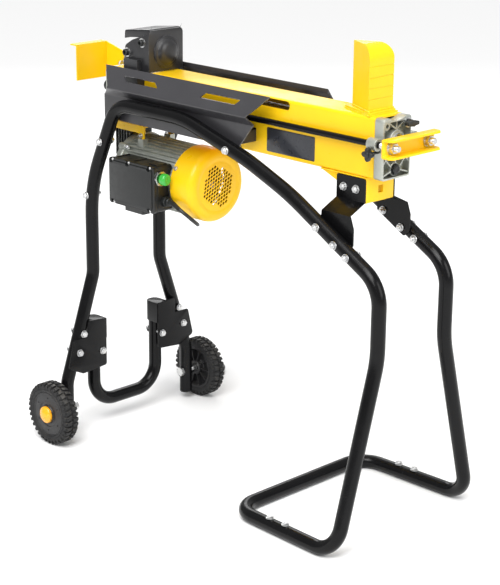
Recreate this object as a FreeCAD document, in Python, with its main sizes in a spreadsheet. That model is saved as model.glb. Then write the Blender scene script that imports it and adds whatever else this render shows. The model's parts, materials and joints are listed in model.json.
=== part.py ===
import FreeCAD, Part

import math
import os
import re

from FreeCAD import Placement, Rotation, Vector

# Electric log splitter on a tube stand. Millimetres, +Z up, floor at z = 0.
# X runs along the beam: the pump and motor are at -X, the wedge at +X.
# "left" is the -Y side and "right" is the +Y side. The origin is on the floor,
# under the middle of the whole machine.

DIMENSIONS = {
    # stand tubes
    "tube_dia": 30.0,
    "tube_wall": 1.6,
    "tube_y": 101.2,
    "leg_x": -371.9,
    "front_leg_x": 496.2,
    "top_run_z": 787.5,
    "joint_x": 398.0,
    "foot_y": 205.3,
    "foot_rear_x": 202.8,
    "foot_rear_y": 197.65,
    "hoop_x": -384.1,
    "hoop_y": 95.2,
    "hoop_low_z": 57.2,
    "hoop_top_z": 268.0,
    "sheet": 3.0,
    # wheels
    "wheel_x": -369.1,
    "wheel_r": 73.1,
    "wheel_in_y": 210.0,
    "wheel_width": 38.0,
    "rim_r": 52.0,
    "axle_dia": 12.0,
    "cap_r": 19.5,
    # beam
    "beam_rear_x": -351.0,
    "beam_front_x": 418.0,
    "beam_half": 41.1,
    "beam_low_z": 733.0,
    "beam_top_z": 855.0,
    "beam_wall": 4.0,
    "bay_line": 0.4,
    "slot_end_x": 190.6,
    "slot_low_z": 834.0,
    "cover_depth": 22.5,
    "block_depth": 31.0,
    "drain_z": 751.0,
    # hydraulic cylinder and ram
    "ram_z": 807.0,
    "bore_r": 22.0,
    "cylinder_r": 26.0,
    "piston_rod_r": 11.0,
    "fit_gap": 0.05,
    "side_rod_y": 53.4,
    "side_rod_dia": 13.0,
    "yoke_x": 466.0,
    "yoke_half": 75.0,
    "yoke_height": 38.0,
    "yoke_depth": 27.0,
    "pusher_x": -228.5,
    "pusher_half": 49.7,
    "pusher_top_z": 942.0,
    "pusher_length": 80.0,
    "boss_z": 897.5,
    "boss_r": 35.5,
    # wedge
    "wedge_tip_x": 322.0,
    "wedge_back_x": 396.0,
    "wedge_half": 36.0,
    "wedge_top_z": 989.0,
    # log guards
    "guard_rear_x": -353.0,
    "guard_front_x": 175.6,
    "guard_trim": 47.0,
    "guard_far_extra": 10.0,
    "guard_sheet": 3.0,
    "guard_tab_y": 83.0,
    # motor, pump and switch box
    "motor_z": 625.3,
    "motor_r": 78.0,
    "motor_rear_x": -302.6,
    "motor_front_x": -129.0,
    "fan_cover_r": 81.0,
    "fan_cover_x": -61.6,
    "shaft_r": 8.0,
    "gear_centres": 34.0,
    "box_x": -286.6,
    "box_length": 148.0,
    "box_y": -121.9,
    "box_depth": 57.0,
    "box_z": 569.5,
    "box_height": 101.5,
    "box_wall": 3.0,
    "button_y": -100.0,
    "gland_y": -86.4,
    "button_z": 645.3,
    "gland_z": 592.8,
    # mains lead
    "cord_dia": 8.0,
    "coil_x": -474.0,
    "coil_y": 346.0,
    "coil_mid_r": 44.0,
    # sides and lever
    "lever_guard_x": -491.0,
    "lever_guard_y": 46.4,
    "lever_y": 57.0,
    "lever_x": -367.0,
    "lever_z": 815.0,
}

doc = FreeCAD.newDocument("LogSplitter")
sheet = doc.addObject("Spreadsheet::Sheet", "Dims")
for row, (alias, value) in enumerate(DIMENSIONS.items(), start=1):
    sheet.set(f"A{row}", alias)
    sheet.set(f"B{row}", str(value))
    sheet.setAlias(f"B{row}", alias)
doc.recompute()

NODES = []


def dim(text):
    """Value of one alias, or of a sum, difference, product or quotient of aliases and numbers."""
    spare = sheet.getContents("D1")
    sheet.set("D1", "=" + str(text))
    sheet.recompute()
    value = sheet.get("D1")
    sheet.set("D1", spare)
    return float(getattr(value, "Value", value))


def expression(text):
    """Spreadsheet expression for a number or for a text of aliases."""
    return re.sub(r"[a-z]\w*", lambda found: "Dims." + found.group(0), str(text))


def bind_place(thing, place, rotation=None):
    """Put a thing at three expressions, after an optional fixed turn."""
    thing.Placement = Placement(Vector(), rotation or Rotation())
    for axis, text in zip("xyz", place):
        thing.setExpression(f"Placement.Base.{axis}", expression(text))
    return thing


def node(thing, name):
    """Mark a finished object as the sub-part of this name."""
    thing.Label = name
    NODES.append(thing)
    return thing


def block(low, high):
    """Box between two corners, each three expressions."""
    box = doc.addObject("Part::Box", "block")
    for side, start, end in zip(("Length", "Width", "Height"), low, high):
        box.setExpression(side, expression(f"({end}) - ({start})"))
    return bind_place(box, low)


TURNS = {
    "x": Rotation(Vector(0, 0, 1), Vector(1, 0, 0)),
    "-x": Rotation(Vector(0, 0, 1), Vector(-1, 0, 0)),
    "y": Rotation(Vector(0, 0, 1), Vector(0, 1, 0)),
    "-y": Rotation(Vector(0, 0, 1), Vector(0, -1, 0)),
    "z": Rotation(),
    "-z": Rotation(Vector(1, 0, 0), 180),
}


def bar(start, axis, length, radius):
    """Round bar from a start point along an axis."""
    cylinder = doc.addObject("Part::Cylinder", "bar")
    cylinder.setExpression("Radius", expression(radius))
    cylinder.setExpression("Height", expression(length))
    return bind_place(cylinder, start, TURNS[axis])


def hexagon(start, axis, length, radius):
    """Hexagonal bar from a start point along an axis."""
    prism = doc.addObject("Part::Prism", "hexagon")
    prism.Polygon = 6
    prism.setExpression("Circumradius", expression(radius))
    prism.setExpression("Height", expression(length))
    return bind_place(prism, start, TURNS[axis])


def fuse(*things):
    joined = doc.addObject("Part::MultiFuse", "fusion")
    joined.Shapes = list(things)
    return joined


def cut(base, *tools):
    result = doc.addObject("Part::Cut", "cut")
    result.Base = base
    result.Tool = tools[0] if len(tools) == 1 else fuse(*tools)
    return result


def common(first, second):
    result = doc.addObject("Part::Common", "common")
    result.Base = first
    result.Tool = second
    return result


def group(things, name):
    """Several separate solids that share one node."""
    compound = doc.addObject("Part::Compound", "group")
    compound.Links = list(things)
    return node(compound, name)


def mirrored(source):
    """Twin of a thing on the other side of the XZ plane."""
    twin = doc.addObject("Part::Mirroring", "mirrored")
    twin.Source = source
    twin.Base = Vector()
    twin.Normal = Vector(0, 1, 0)
    return twin


def twins(left, name):
    """Two identical sub-parts, one on each side of the beam, that share one node."""
    group([left, mirrored(left)], name)


def pair(left, name):
    """A left-hand sub-part and its right-hand twin, each in a node of its own."""
    node(left, name + "_left")
    node(mirrored(left), name + "_right")


def rounded(points):
    """Closed outline of lines, with an arc at each corner that gives a radius."""
    count = len(points)
    trims = []
    for index, corner in enumerate(points):
        here = Vector(corner[0], corner[1])
        before = (Vector(*points[index - 1][:2]) - here).normalize()
        after = (Vector(*points[(index + 1) % count][:2]) - here).normalize()
        radius = corner[2] if len(corner) > 2 else 0.0
        half = before.getAngle(after) / 2
        reach = radius / math.tan(half)
        middle = here + (before + after).normalize() * (radius / math.sin(half) - radius) if radius else here
        trims.append((here + before * reach, middle, here + after * reach, radius))
    edges = []
    for index, (start, middle, end, radius) in enumerate(trims):
        if radius:
            edges.append(Part.Arc(start, middle, end))
        edges.append(Part.LineSegment(end, trims[(index + 1) % count][0]))
    return edges


def sketched_body(plane, edges):
    """Body with one sketch on one of its own origin planes."""
    body = doc.addObject("PartDesign::Body", "body")
    sketch = body.newObject("Sketcher::SketchObject", "outline")
    origin = next(item for item in body.Origin.OriginFeatures if item.Role == plane)
    sketch.AttachmentSupport = [(origin, "")]
    sketch.MapMode = "FlatFace"
    sketch.addGeometry(edges, False)
    return body, sketch


def plate(plane, points, thickness, place=(0, 0, 0)):
    """Flat plate. XY plates rise along +Z, XZ plates go to -Y and YZ plates to +X."""
    body, sketch = sketched_body(plane + "_Plane", rounded(points))
    pad = body.newObject("PartDesign::Pad", "plate")
    pad.Profile = sketch
    pad.setExpression("Length", expression(thickness))
    return bind_place(body, place)


def turned(points, place, axis):
    """Body turned round an axis from an outline of radius and height."""
    body, sketch = sketched_body("XZ_Plane", rounded(points))
    lathe = body.newObject("PartDesign::Revolution", "turned")
    lathe.Profile = sketch
    lathe.ReferenceAxis = (sketch, ["V_Axis"])
    lathe.Angle = 360
    return bind_place(body, place, TURNS[axis])


def path_with_bends(points, radii):
    """Open wire of straight runs joined by tangent arcs, one radius for each inner point."""
    edges = []
    start = Vector(*points[0])
    for corner, after, radius in zip(points[1:], points[2:], radii):
        corner = Vector(*corner)
        back = (start - corner).normalize()
        onward = (Vector(*after) - corner).normalize()
        half = back.getAngle(onward) / 2
        reach = radius / math.tan(half)
        middle = corner + (back + onward).normalize() * (radius / math.sin(half) - radius)
        entry = corner + back * reach
        leave = corner + onward * reach
        edges.append(Part.LineSegment(start, entry).toShape())
        edges.append(Part.Arc(entry, middle, leave).toShape())
        start = leave
    edges.append(Part.LineSegment(start, Vector(*points[-1])).toShape())
    return Part.Wire(edges)


def swept(path, radius):
    """Solid of a round section along a wire."""
    start = path.Edges[0].valueAt(path.Edges[0].FirstParameter)
    direction = path.Edges[0].tangentAt(path.Edges[0].FirstParameter)
    ring = Part.Wire([Part.makeCircle(radius, start, direction)])
    return path.makePipeShell([ring], True, False)


def bent_tube(points, radii, radius=None, wall=None):
    """Hollow round tube along bent runs."""
    radius = radius or dim("tube_dia / 2")
    path = path_with_bends(points, radii)
    tube = doc.addObject("Part::Feature", "tube")
    tube.Shape = swept(path, radius).cut(swept(path, radius - (wall or dim("tube_wall"))))
    return tube


def bolt(head, axis, grip, size=8.0, nut=True):
    """Through bolt with a hexagonal head on the outside and a nut on the inside."""
    sign = -1 if axis.startswith("-") else 1
    index = "xyz".index(axis[-1])

    def at(distance):
        place = list(head)
        place[index] = f"({head[index]}) + {sign * distance}"
        return place

    parts = [
        hexagon(at(-0.65 * size), axis, 0.65 * size, 0.95 * size),
        bar(at(-0.1), axis, grip + 1.3 * size, size / 2),
    ]
    if nut:
        parts.append(hexagon(at(grip), axis, 0.8 * size, 0.95 * size))
    return fuse(*parts)


def hole(head, axis, depth, radius=4.2):
    """Cutter for a bolt's hole, from just outside its head."""
    sign = -1 if axis.startswith("-") else 1
    index = "xyz".index(axis[-1])
    place = list(head)
    place[index] = f"({head[index]}) - {sign}"
    return bar(place, axis, depth, radius)


# --- stand ----------------------------------------------------------------

TUBE_OUT = "-tube_y - tube_dia / 2 - 0.2"
REAR_TUBE_BOLTS = ((-321, 698), (-371.9, 567), (82.7, 746.6))
FRONT_TUBE_BOLTS = ((339.3, 635.6), (387.1, 609.2))
LEG_TUBE_BOLT = (420, 590.5)
FOOT_BOLTS_X = (308, 352)
PLATE_FRONT = "leg_x + tube_dia / 2 + sheet + 0.4"
HOOP_PLATE_BOLTS = ((-92, 195), (-160, 205), (-147, 248))
BRACKET_BOLTS_X = (345, 378)
BRACKET_OUT = "-beam_half - 0.2 - sheet"


def tube_holes(places):
    return [hole((x, TUBE_OUT, z), "y", 36) for x, z in places]


def hoop_plate_holes():
    return [hole((PLATE_FRONT, y, z), "-x", 56) for y, z in HOOP_PLATE_BOLTS]


def foot_holes():
    return [hole((x, -200.6, 30.2), "-z", 26) for x in FOOT_BOLTS_X]


def side_route():
    """Left side tube: wheel end, splayed leg, top bend and the slope to the front joint."""
    y = -dim("tube_y")
    x = dim("leg_x")
    top = dim("top_run_z")
    splay_y = -184.7
    slope = 135.0 / 240.9
    joint = dim("joint_x")
    return [
        (x, splay_y, 20.0),
        (x, splay_y, 133.1),
        (x, y, 381.3),
        (x, y, 587.8),
        (-279.6, y, top),
        (-58.8, y, top),
        (133.4, y, 732.2),
        (255.3, y, 683.0),
        (joint, y, 683.0 - slope * (joint - 255.3)),
    ]


def front_route():
    """Left front leg: from the joint down to the foot, ending in the foot's side run."""
    y = -dim("tube_y")
    x = dim("front_leg_x")
    joint = dim("joint_x")
    slope = 135.0 / 240.9
    return [
        (joint, y, 683.0 - slope * (joint - 255.3)),
        (x, y, 548.0),
        (x, y, 396.1),
        (493.4, -dim("foot_y"), 15.0),
        (330.0, -201.0, 15.0),
    ]


def make_stand():
    left = bent_tube(side_route(), [60, 60, 320, 70, 260, 500, 600])
    axle_hole = bar(("wheel_x", -160, "wheel_r"), "-y", 60, "axle_dia / 2 + 0.1")
    holes = tube_holes(REAR_TUBE_BOLTS + FRONT_TUBE_BOLTS) + hoop_plate_holes()
    pair(cut(left, axle_hole, *holes), "side_tube")
    leg = bent_tube(front_route(), [75, 200, 55])
    twins(cut(leg, *tube_holes([LEG_TUBE_BOLT]), *foot_holes()), "front_legs")
    rear, rear_y = dim("foot_rear_x"), dim("foot_rear_y")
    corners = [(330.0, -201.0, 15.0), (rear, -rear_y, 15.0), (rear, rear_y, 15.0), (330.0, 201.0, 15.0)]
    near_holes = foot_holes()
    floor = cut(bent_tube(corners, [55, 55]), *near_holes, *[mirrored(one) for one in near_holes])
    node(floor, "floor_frame")
    sleeve_r = dim("tube_dia / 2 - tube_wall - fit_gap")
    sleeves = []
    side = side_route()
    joint = Vector(*side[-1])
    along = (joint - Vector(*side[-2])).normalize()
    foot_joint = Vector(330.0, -201.0, 15.0)
    foot_way = Vector(163.4, -4.3, 0).normalize()
    for sign in (1, -1):
        for middle, way in ((joint, along), (foot_joint, foot_way)):
            middle = Vector(middle.x, sign * middle.y, middle.z)
            way = Vector(way.x, sign * way.y, way.z)
            sleeve = doc.addObject("Part::Feature", "sleeve")
            outer = Part.makeCylinder(sleeve_r, 80.0, middle - way * 40.0, way)
            sleeve.Shape = outer.cut(Part.makeCylinder(sleeve_r - 1.6, 80.0, middle - way * 40.0, way))
            sleeves.append(sleeve)
    drills = tube_holes([FRONT_TUBE_BOLTS[1], LEG_TUBE_BOLT]) + foot_holes()
    drills += [mirrored(one) for one in drills]
    group([cut(sleeve, *drills) for sleeve in sleeves], "tube_sleeves")


def make_hoop():
    """Low U-shaped hoop between the rear legs, and the plates that hold it."""
    x, y = dim("hoop_x"), dim("hoop_y")
    low, top = dim("hoop_low_z"), dim("hoop_top_z")
    hoop = bent_tube([(x, -y, top), (x, -y, low), (x, y, low), (x, y, top)], [58, 58])
    near_holes = hoop_plate_holes()
    node(cut(hoop, *near_holes, *[mirrored(one) for one in near_holes]), "rear_hoop")
    outline = [(-176, 238, 6), (-192, 172, 8), (-150, 152, 8), (-80, 158, 6), (-80, 272, 4)]
    outline += [(-134, 276, 6), (-134, 238)]
    web = plate("YZ", outline, "sheet", ("leg_x + tube_dia / 2 + 0.2", 0, 0))
    cap = block(("hoop_x - tube_dia / 2 - 3", -113.5, 222), ("leg_x + tube_dia / 2 + 0.3", -77, 272))
    hollow = bar(("hoop_x", "-hoop_y", 200), "z", 69, "tube_dia / 2 + 0.3")
    twins(cut(fuse(web, cap), hollow, *hoop_plate_holes()), "hoop_plates")


def make_front_bracket():
    """Cranked plate from the beam foot out to the sloping tube."""
    upper = [(325.5, 731, 4), (401, 731, 4), (401, 684), (325.5, 684)]
    lower = [(325.5, 664), (401, 664), (410, 640, 6), (410, 605, 8), (396, 592, 6), (322, 634, 6)]
    top_plate = plate("XZ", upper, "sheet", (0, "-beam_half - 0.1", 0))
    low_plate = plate("XZ", lower, "sheet", (0, "-tube_y + tube_dia / 2 + 3.2", 0))
    crank = doc.addObject("Part::Feature", "crank")
    y_in, y_out, t = -dim("beam_half + 0.1"), -dim("tube_y - tube_dia / 2 - 3.2"), dim("sheet")
    section = [(y_in, 684), (y_out, 664), (y_out - t, 664), (y_in - t, 684)]
    wire = Part.makePolygon([Vector(325.5, y, z) for y, z in section + section[:1]])
    crank.Shape = Part.Face(wire).extrude(Vector(75.5, 0, 0))
    holes = tube_holes(FRONT_TUBE_BOLTS) + [hole((x, BRACKET_OUT, 708), "y", 12) for x in BRACKET_BOLTS_X]
    twins(cut(fuse(top_plate, crank, low_plate), *holes), "front_brackets")


def make_stand_fasteners():
    """Bolts of the stand: tube joints, brackets, hoop plates and feet."""
    bolts = [bolt((x, TUBE_OUT, z), "y", 30.4) for x, z in (*REAR_TUBE_BOLTS[:2], LEG_TUBE_BOLT)]
    bolts += [bolt((x, TUBE_OUT, z), "y", 34.2) for x, z in (REAR_TUBE_BOLTS[2], *FRONT_TUBE_BOLTS)]
    bolts += [bolt((x, BRACKET_OUT, 708), "y", 6.6) for x in BRACKET_BOLTS_X]
    bolts += [bolt((PLATE_FRONT, y, z), "-x", 46.2 if y == -92 else 34.0) for y, z in HOOP_PLATE_BOLTS]
    bolts += [bolt((x, -200.6, 30.2), "-z", 10.0, nut=False) for x in FOOT_BOLTS_X]
    group(bolts + [mirrored(one) for one in bolts], "stand_fasteners")


# --- wheels ---------------------------------------------------------------


def make_wheels():
    r, w, rim = dim("wheel_r"), dim("wheel_width"), dim("rim_r")
    tyre_profile = [(rim + 0.3, 3), (rim + 6, 0), (r - 7, 1, 3), (r, 8, 5), (r, w - 8, 5), (r - 7, w - 1, 3),
                    (rim + 6, w), (rim + 0.3, w - 3)]
    hub_hole = dim("axle_dia / 2 + fit_gap")
    rim_profile = [(hub_hole, 0), (17, 0, 2), (19, 7, 3), (rim - 8, 7, 3), (rim - 5, 1), (rim, 1),
                   (rim, w - 1), (rim - 5, w - 1), (rim - 8, w / 2 + 4, 3), (22, w / 2 + 4, 3), (20, w, 2),
                   (hub_hole, w)]
    cap = dim("cap_r")
    cap_profile = [(cap - 3, 0), (cap, 0), (cap, 8, 2), (cap - 7, 12, 5), (0, 12.5), (0, 6), (cap - 3, 6)]
    place = ("wheel_x", "-wheel_in_y", "wheel_r")
    pair(turned(tyre_profile, place, "-y"), "tyre")
    pair(turned(rim_profile, place, "-y"), "rim")
    outside = ("wheel_x", "-wheel_in_y - wheel_width - 0.1", "wheel_r")
    pair(turned(cap_profile, outside, "-y"), "hub_cap")
    inner_end = 184.7 - 15.4
    shaft_length = f"wheel_in_y + wheel_width + 4 - {inner_end}"
    shaft = bar(("wheel_x", -inner_end, "wheel_r"), "-y", shaft_length, "axle_dia / 2")
    head = hexagon(("wheel_x", -inner_end, "wheel_r"), "y", 8, 11)
    collar = bar(("wheel_x", -200.5, "wheel_r"), "-y", "wheel_in_y - 200.5 - 0.4", 10)
    twins(fuse(shaft, head, collar), "axles")


# --- beam -----------------------------------------------------------------


def make_beam():
    """Square tube with a slot through both sides, and a scored line at each end of the log bay."""
    half, wall = "beam_half", "beam_wall"
    outer = block(("beam_rear_x", f"-{half}", "beam_low_z"), ("beam_front_x", half, "beam_top_z"))
    inner = block((f"beam_rear_x - 1", f"-{half} + {wall}", f"beam_low_z + {wall}"),
                  ("beam_front_x + 1", f"{half} - {wall}", f"beam_top_z - {wall}"))
    slot_end = ("slot_end_x", f"{half} + 1", "beam_top_z - beam_wall")
    slot = block(("beam_rear_x - 1", f"-{half} - 1", "slot_low_z"), slot_end)
    lines = [
        block((x, f"-{half} - 1", "beam_top_z - bay_line"), (f"{x} + 0.6", f"{half} + 1", "beam_top_z + 1"))
        for x in ("pusher_x + 28", "wedge_tip_x - 22")
    ]
    node(cut(outer, inner, slot, *lines), "beam_shell")
    foot = [(277, 732.8), (401, 732.8), (401, 681), (340, 681), (325, 714)]
    solid = plate("XZ", foot, "2 * beam_half", (0, "beam_half", 0))
    hollow = [(284, 740), (390, 740), (390, 670), (343, 670), (329, 717)]
    room = plate("XZ", hollow, "2 * beam_half - 2 * sheet", (0, "beam_half - sheet", 0))
    window = block((385, -5, 698), (405, 9, 713))
    near_holes = [hole((x, BRACKET_OUT, 708), "y", 12) for x in BRACKET_BOLTS_X]
    node(cut(solid, room, window, *near_holes, *[mirrored(one) for one in near_holes]), "beam_foot")


def make_wedge():
    tip, back, half, top = dim("wedge_tip_x"), dim("wedge_back_x"), dim("wedge_half"), dim("wedge_top_z")
    base = dim("beam_top_z") + 0.2
    outline = [(tip, -1.5), (back, -half), (back, half), (tip, 1.5)]
    plan = plate("XY", outline, "wedge_top_z - beam_top_z", (0, 0, base))
    side = plate("XZ", [(tip - 1, base - 1), (back + 1, base - 1), (back + 1, top, 33), (tip - 1, top, 2)],
                 "2 * wedge_half + 2", (0, "wedge_half + 1", 0))
    pad_plan = [(tip - 12, -9, 3), (back + 7, -half - 4, 3), (back + 7, half + 4, 3), (tip - 12, 9, 3)]
    pad = plate("XY", pad_plan, 6, (0, 0, base))
    node(fuse(common(plan, side), pad), "wedge")


def make_guards():
    """Folded log guards. The left one has slanted ends and two leaning windows, the right one is plain."""
    t = dim("guard_sheet")
    rear, front, trim = dim("guard_rear_x"), dim("guard_front_x"), dim("guard_trim")
    fold = [(-75, 853), (-75, 865.3), (-107.8, 820.3), (-85.6, 800.6), (-85.6, 747)]
    inner = [(-75 - t, 853), (-75 - t, 856), (-103.8, 820.6), (-82.6, 802.2), (-82.6, 747)]
    body, sketch = sketched_body("YZ_Plane", rounded([(y, z) for y, z in fold + inner[::-1]]))
    pad = body.newObject("PartDesign::Pad", "folded")
    pad.Profile = sketch
    pad.setExpression("Length", expression("guard_front_x - guard_rear_x + guard_far_extra"))
    bind_place(body, ("guard_rear_x", 0, 0))
    shape = [(rear, 870), (rear + trim, 820.4), (rear + 10, 800), (rear + 10, 740), (front - 95, 740),
             (front - 45, 800), (front - trim, 820.4), (front, 870)]
    trimmed = common(body, plate("XZ", shape, 60, (0, -60, 0)))
    far_front = front + dim("guard_far_extra")
    far_shape = [*shape[:4], (far_front - 60, 740), (far_front - 20, 800)]
    far_shape += [(far_front, 830), (far_front, 870)]
    plain = common(body, plate("XZ", far_shape, 60, (0, -60, 0)))
    windows = []
    for x, lean in ((-210.5, -9), (38.5, 6)):
        window = [(x - 52 + lean, 849), (x + 52 + lean, 849), (x + 52 - lean, 838), (x - 52 - lean, 838)]
        windows.append(plate("XZ", window, 40, (0, -70, 0)))
    tabs = [block((x, "-guard_tab_y", 757), (x + 25, "-beam_half - 0.1", 785)) for x in (-335, 70.2)]
    hole_tool = tube_holes([REAR_TUBE_BOLTS[2]])
    near = cut(fuse(cut(trimmed, *windows), *tabs), *hole_tool)
    far = cut(fuse(plain, *tabs), *hole_tool)
    group([near, mirrored(far)], "log_guards")


# --- hydraulics -----------------------------------------------------------


def make_cylinder():
    start, end = dim("beam_rear_x"), dim("beam_front_x")
    length = end - start
    tube = cut(bar((start + 0.2, 0, "ram_z"), "x", length - 0.4, "cylinder_r"),
               bar((start, 0, "ram_z"), "x", length, "bore_r"))
    node(tube, "cylinder_tube")
    half, low, top = "beam_half", "beam_low_z", "beam_top_z"
    cover = block(("beam_front_x + 0.3", f"-{half}", low), ("beam_front_x + cover_depth", half, top))
    pocket = block(("beam_front_x + 6", f"-{half} + 4", f"{low} + 4"),
                   ("beam_front_x + cover_depth + 1", f"{half} - 4", f"{top} - 9"))
    boss = bar(("beam_front_x + 5", 0, "ram_z"), "x", "cover_depth - 5", 21)
    corners = [bar(("beam_front_x + 5", y, 840), "x", "cover_depth - 5", 8) for y in (-30, 30)]
    drain = bar(("beam_front_x + 5", 0, "drain_z"), "x", "cover_depth - 9", 13)
    rib = block(("beam_front_x + 5", -1.5, low), ("beam_front_x + cover_depth - 2", 1.5, top))
    saddle = bar(("beam_front_x - 1", 0, 897), "x", 40, 49)
    eye = block(("beam_front_x + 0.3", "-side_rod_y - 11", "ram_z - 11"),
                ("beam_front_x + cover_depth", "-beam_half + 3", "ram_z + 11"))
    rod_hole = bar(("beam_front_x - 5", 0, "ram_z"), "x", 60, "piston_rod_r + fit_gap + 1.5")
    side_holes = [
        bar(("beam_front_x - 5", f"{side} * side_rod_y", "ram_z"), "x", 60, "side_rod_dia / 2 + 0.4")
        for side in (-1, 1)
    ]
    plug_hole = bar(("beam_front_x - 1", 0, "drain_z"), "x", 60, 9)
    plug_seat = bar(("beam_front_x + cover_depth - 4", 0, "drain_z"), "x", 20, 12)
    dip_hole = bar(("beam_front_x - 1", 30, 840), "x", 60, 5.1)
    body = fuse(cut(cover, pocket), boss, drain, *corners, rib, eye, mirrored(eye))
    node(cut(body, saddle, rod_hole, plug_hole, plug_seat, dip_hole, *side_holes), "end_cover")
    ring = cut(bar(("beam_front_x + 1", 0, "ram_z"), "x", "cover_depth + 1", "piston_rod_r + fit_gap + 1.5"),
               bar(("beam_front_x - 1", 0, "ram_z"), "x", 60, "piston_rod_r + fit_gap"))
    node(ring, "rod_gland")
    plug = fuse(bar(("beam_front_x + 6", 0, "drain_z"), "x", 13, 8.9),
                hexagon(("beam_front_x + 18.6", 0, "drain_z"), "x", 6, 11))
    node(plug, "drain_plug")


def make_rear_block():
    half = "beam_half + 5"
    near_end = ("beam_rear_x - 0.3", half, "beam_top_z - 5")
    body = block(("beam_rear_x - block_depth", f"-({half})", "beam_low_z"), near_end)
    port = bar(("beam_rear_x - 14", 0, "ram_z"), "x", 20, "bore_r")
    spool_hole = bar(("lever_x", "beam_half - 30", "lever_z - 40"), "y", 60, 5.05)
    node(cut(body, port, spool_hole), "rear_block")
    node(bar(("lever_x", "beam_half - 29", "lever_z - 40"), "y", 33.5, 5), "valve_spool")
    node(bar(("beam_rear_x - block_depth - 9", -32, 806), "x", 8.8, 12), "spool_cap")


def make_ram():
    """Everything that travels: piston, rod, yoke, side rods and pusher."""
    rear = "beam_rear_x + 22"
    node(bar((rear, 0, "ram_z"), "x", 30, "bore_r - fit_gap"), "piston")
    rod_start = "beam_rear_x + 52"
    node(bar((rod_start, 0, "ram_z"), "x", f"yoke_x - 0.1 - ({rod_start})", "piston_rod_r"), "piston_rod")
    low, high = "ram_z - yoke_height / 2", "ram_z + yoke_height / 2"
    outer = block(("yoke_x", "-yoke_half", low), ("yoke_x + yoke_depth", "yoke_half", high))
    room_end = ("yoke_x + yoke_depth + 1", "yoke_half + 1", f"{high} - 4.5")
    room = block(("yoke_x + 5", "-yoke_half - 1", f"{low} + 4.5"), room_end)
    holes = [
        bar(("yoke_x - 1", f"{side} * side_rod_y", "ram_z"), "x", 10, "side_rod_dia / 2 + 0.3")
        for side in (-1, 1)
    ]
    node(cut(outer, room, *holes), "yoke")
    rod_length = "yoke_x + 26 - pusher_x + 70"
    rod = bar(("pusher_x - 70", "-side_rod_y", "ram_z"), "x", rod_length, "side_rod_dia / 2")
    twins(rod, "side_rods")
    nuts = []
    stack = (
        (bar, "yoke_x + 5.1", 2.2, 12.5),
        (hexagon, "yoke_x + 7.3", 9, 11.0),
        (hexagon, "yoke_x - 9.1", 9, 11.0),
    )
    for side in (-1, 1):
        for shape, start, length, radius in stack:
            place = (start, f"{side} * side_rod_y", "ram_z")
            thread = bar(place, "x", length, "side_rod_dia / 2 + 0.05")
            nuts.append(cut(shape(place, "x", length, radius), thread))
    group(nuts, "yoke_nuts")


def make_pusher():
    x, top, length = dim("pusher_x"), dim("pusher_top_z"), dim("pusher_length")
    bed = dim("beam_top_z") + 1.0
    front = block(("pusher_x - 4", "-pusher_half", bed), ("pusher_x", "pusher_half", "pusher_top_z"))
    cheek = [(x - 4, bed), (x - 4, top - 6), (x - 56, top - 22, 10)]
    cheek += [(x - length, top - 34, 12), (x - length, bed)]
    near = plate("XZ", cheek, 4, (0, "-pusher_half + 4", 0))
    far = plate("XZ", cheek, 4, (0, "pusher_half", 0))
    flap_side = [(x - 4, top), (x - 88, top - 11, 3), (x - 88, top - 26, 3), (x - 4, top - 16)]
    flap = plate("XZ", flap_side, 80, (0, 40, 0))
    room_side = [(x - 4, top - 4), (x - 84, top - 15), (x - 84, top - 40), (x - 4, top - 40)]
    flap_room = plate("XZ", room_side, 72, (0, 36, 0))
    boss = dim("boss_r")
    dome_profile = [(0, 0), (boss, 0), (boss, 4, 3), (24, 11, 12), (0, 14)]
    dome = turned(dome_profile, ("pusher_x - 0.5", 0, "boss_z"), "x")
    bolt_places = [(x - dx, z) for dx, z in ((22, 919), (72, 893))]
    drills = [bar((bolt_x, -60, z), "y", 120, 4.1) for bolt_x, z in bolt_places]
    node(cut(fuse(front, near, far, cut(flap, flap_room), dome), *drills), "pusher_shell")
    heads = []
    for bolt_x, z in bolt_places:
        head = bar((bolt_x, "-pusher_half - 9", z), "y", 8.9, 7.5)
        shank = bar((bolt_x, "-pusher_half - 1", z), "y", 9, 4)
        heads.append(fuse(head, shank))
    group(heads + [mirrored(one) for one in heads], "pusher_bolts")
    arm_end = ("pusher_x - 25", "-(beam_half + 1.2)", bed + 26)
    arm = block(("pusher_x - 70", "-(side_rod_y + 9)", "ram_z - 11"), arm_end)
    recess_end = ("pusher_x + 1", "-(beam_half + 0.5)", bed + 60)
    recess = block((x - 90, "-(pusher_half + 0.2)", bed - 1), recess_end)
    rod_hole = bar(("pusher_x - 90", "-side_rod_y", "ram_z"), "x", 90, "side_rod_dia / 2 + 0.05")
    near_arm = cut(arm, recess, rod_hole)
    group([near_arm, mirrored(near_arm)], "ram_arms")
    pad_end = ("pusher_x - 25", "-(beam_half - beam_wall - 10)", "beam_top_z - beam_wall - 1")
    pad = block(("pusher_x - 70", "-(beam_half + 1.1)", "slot_low_z + 1"), pad_end)
    group([pad, mirrored(pad)], "slide_pads")


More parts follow.
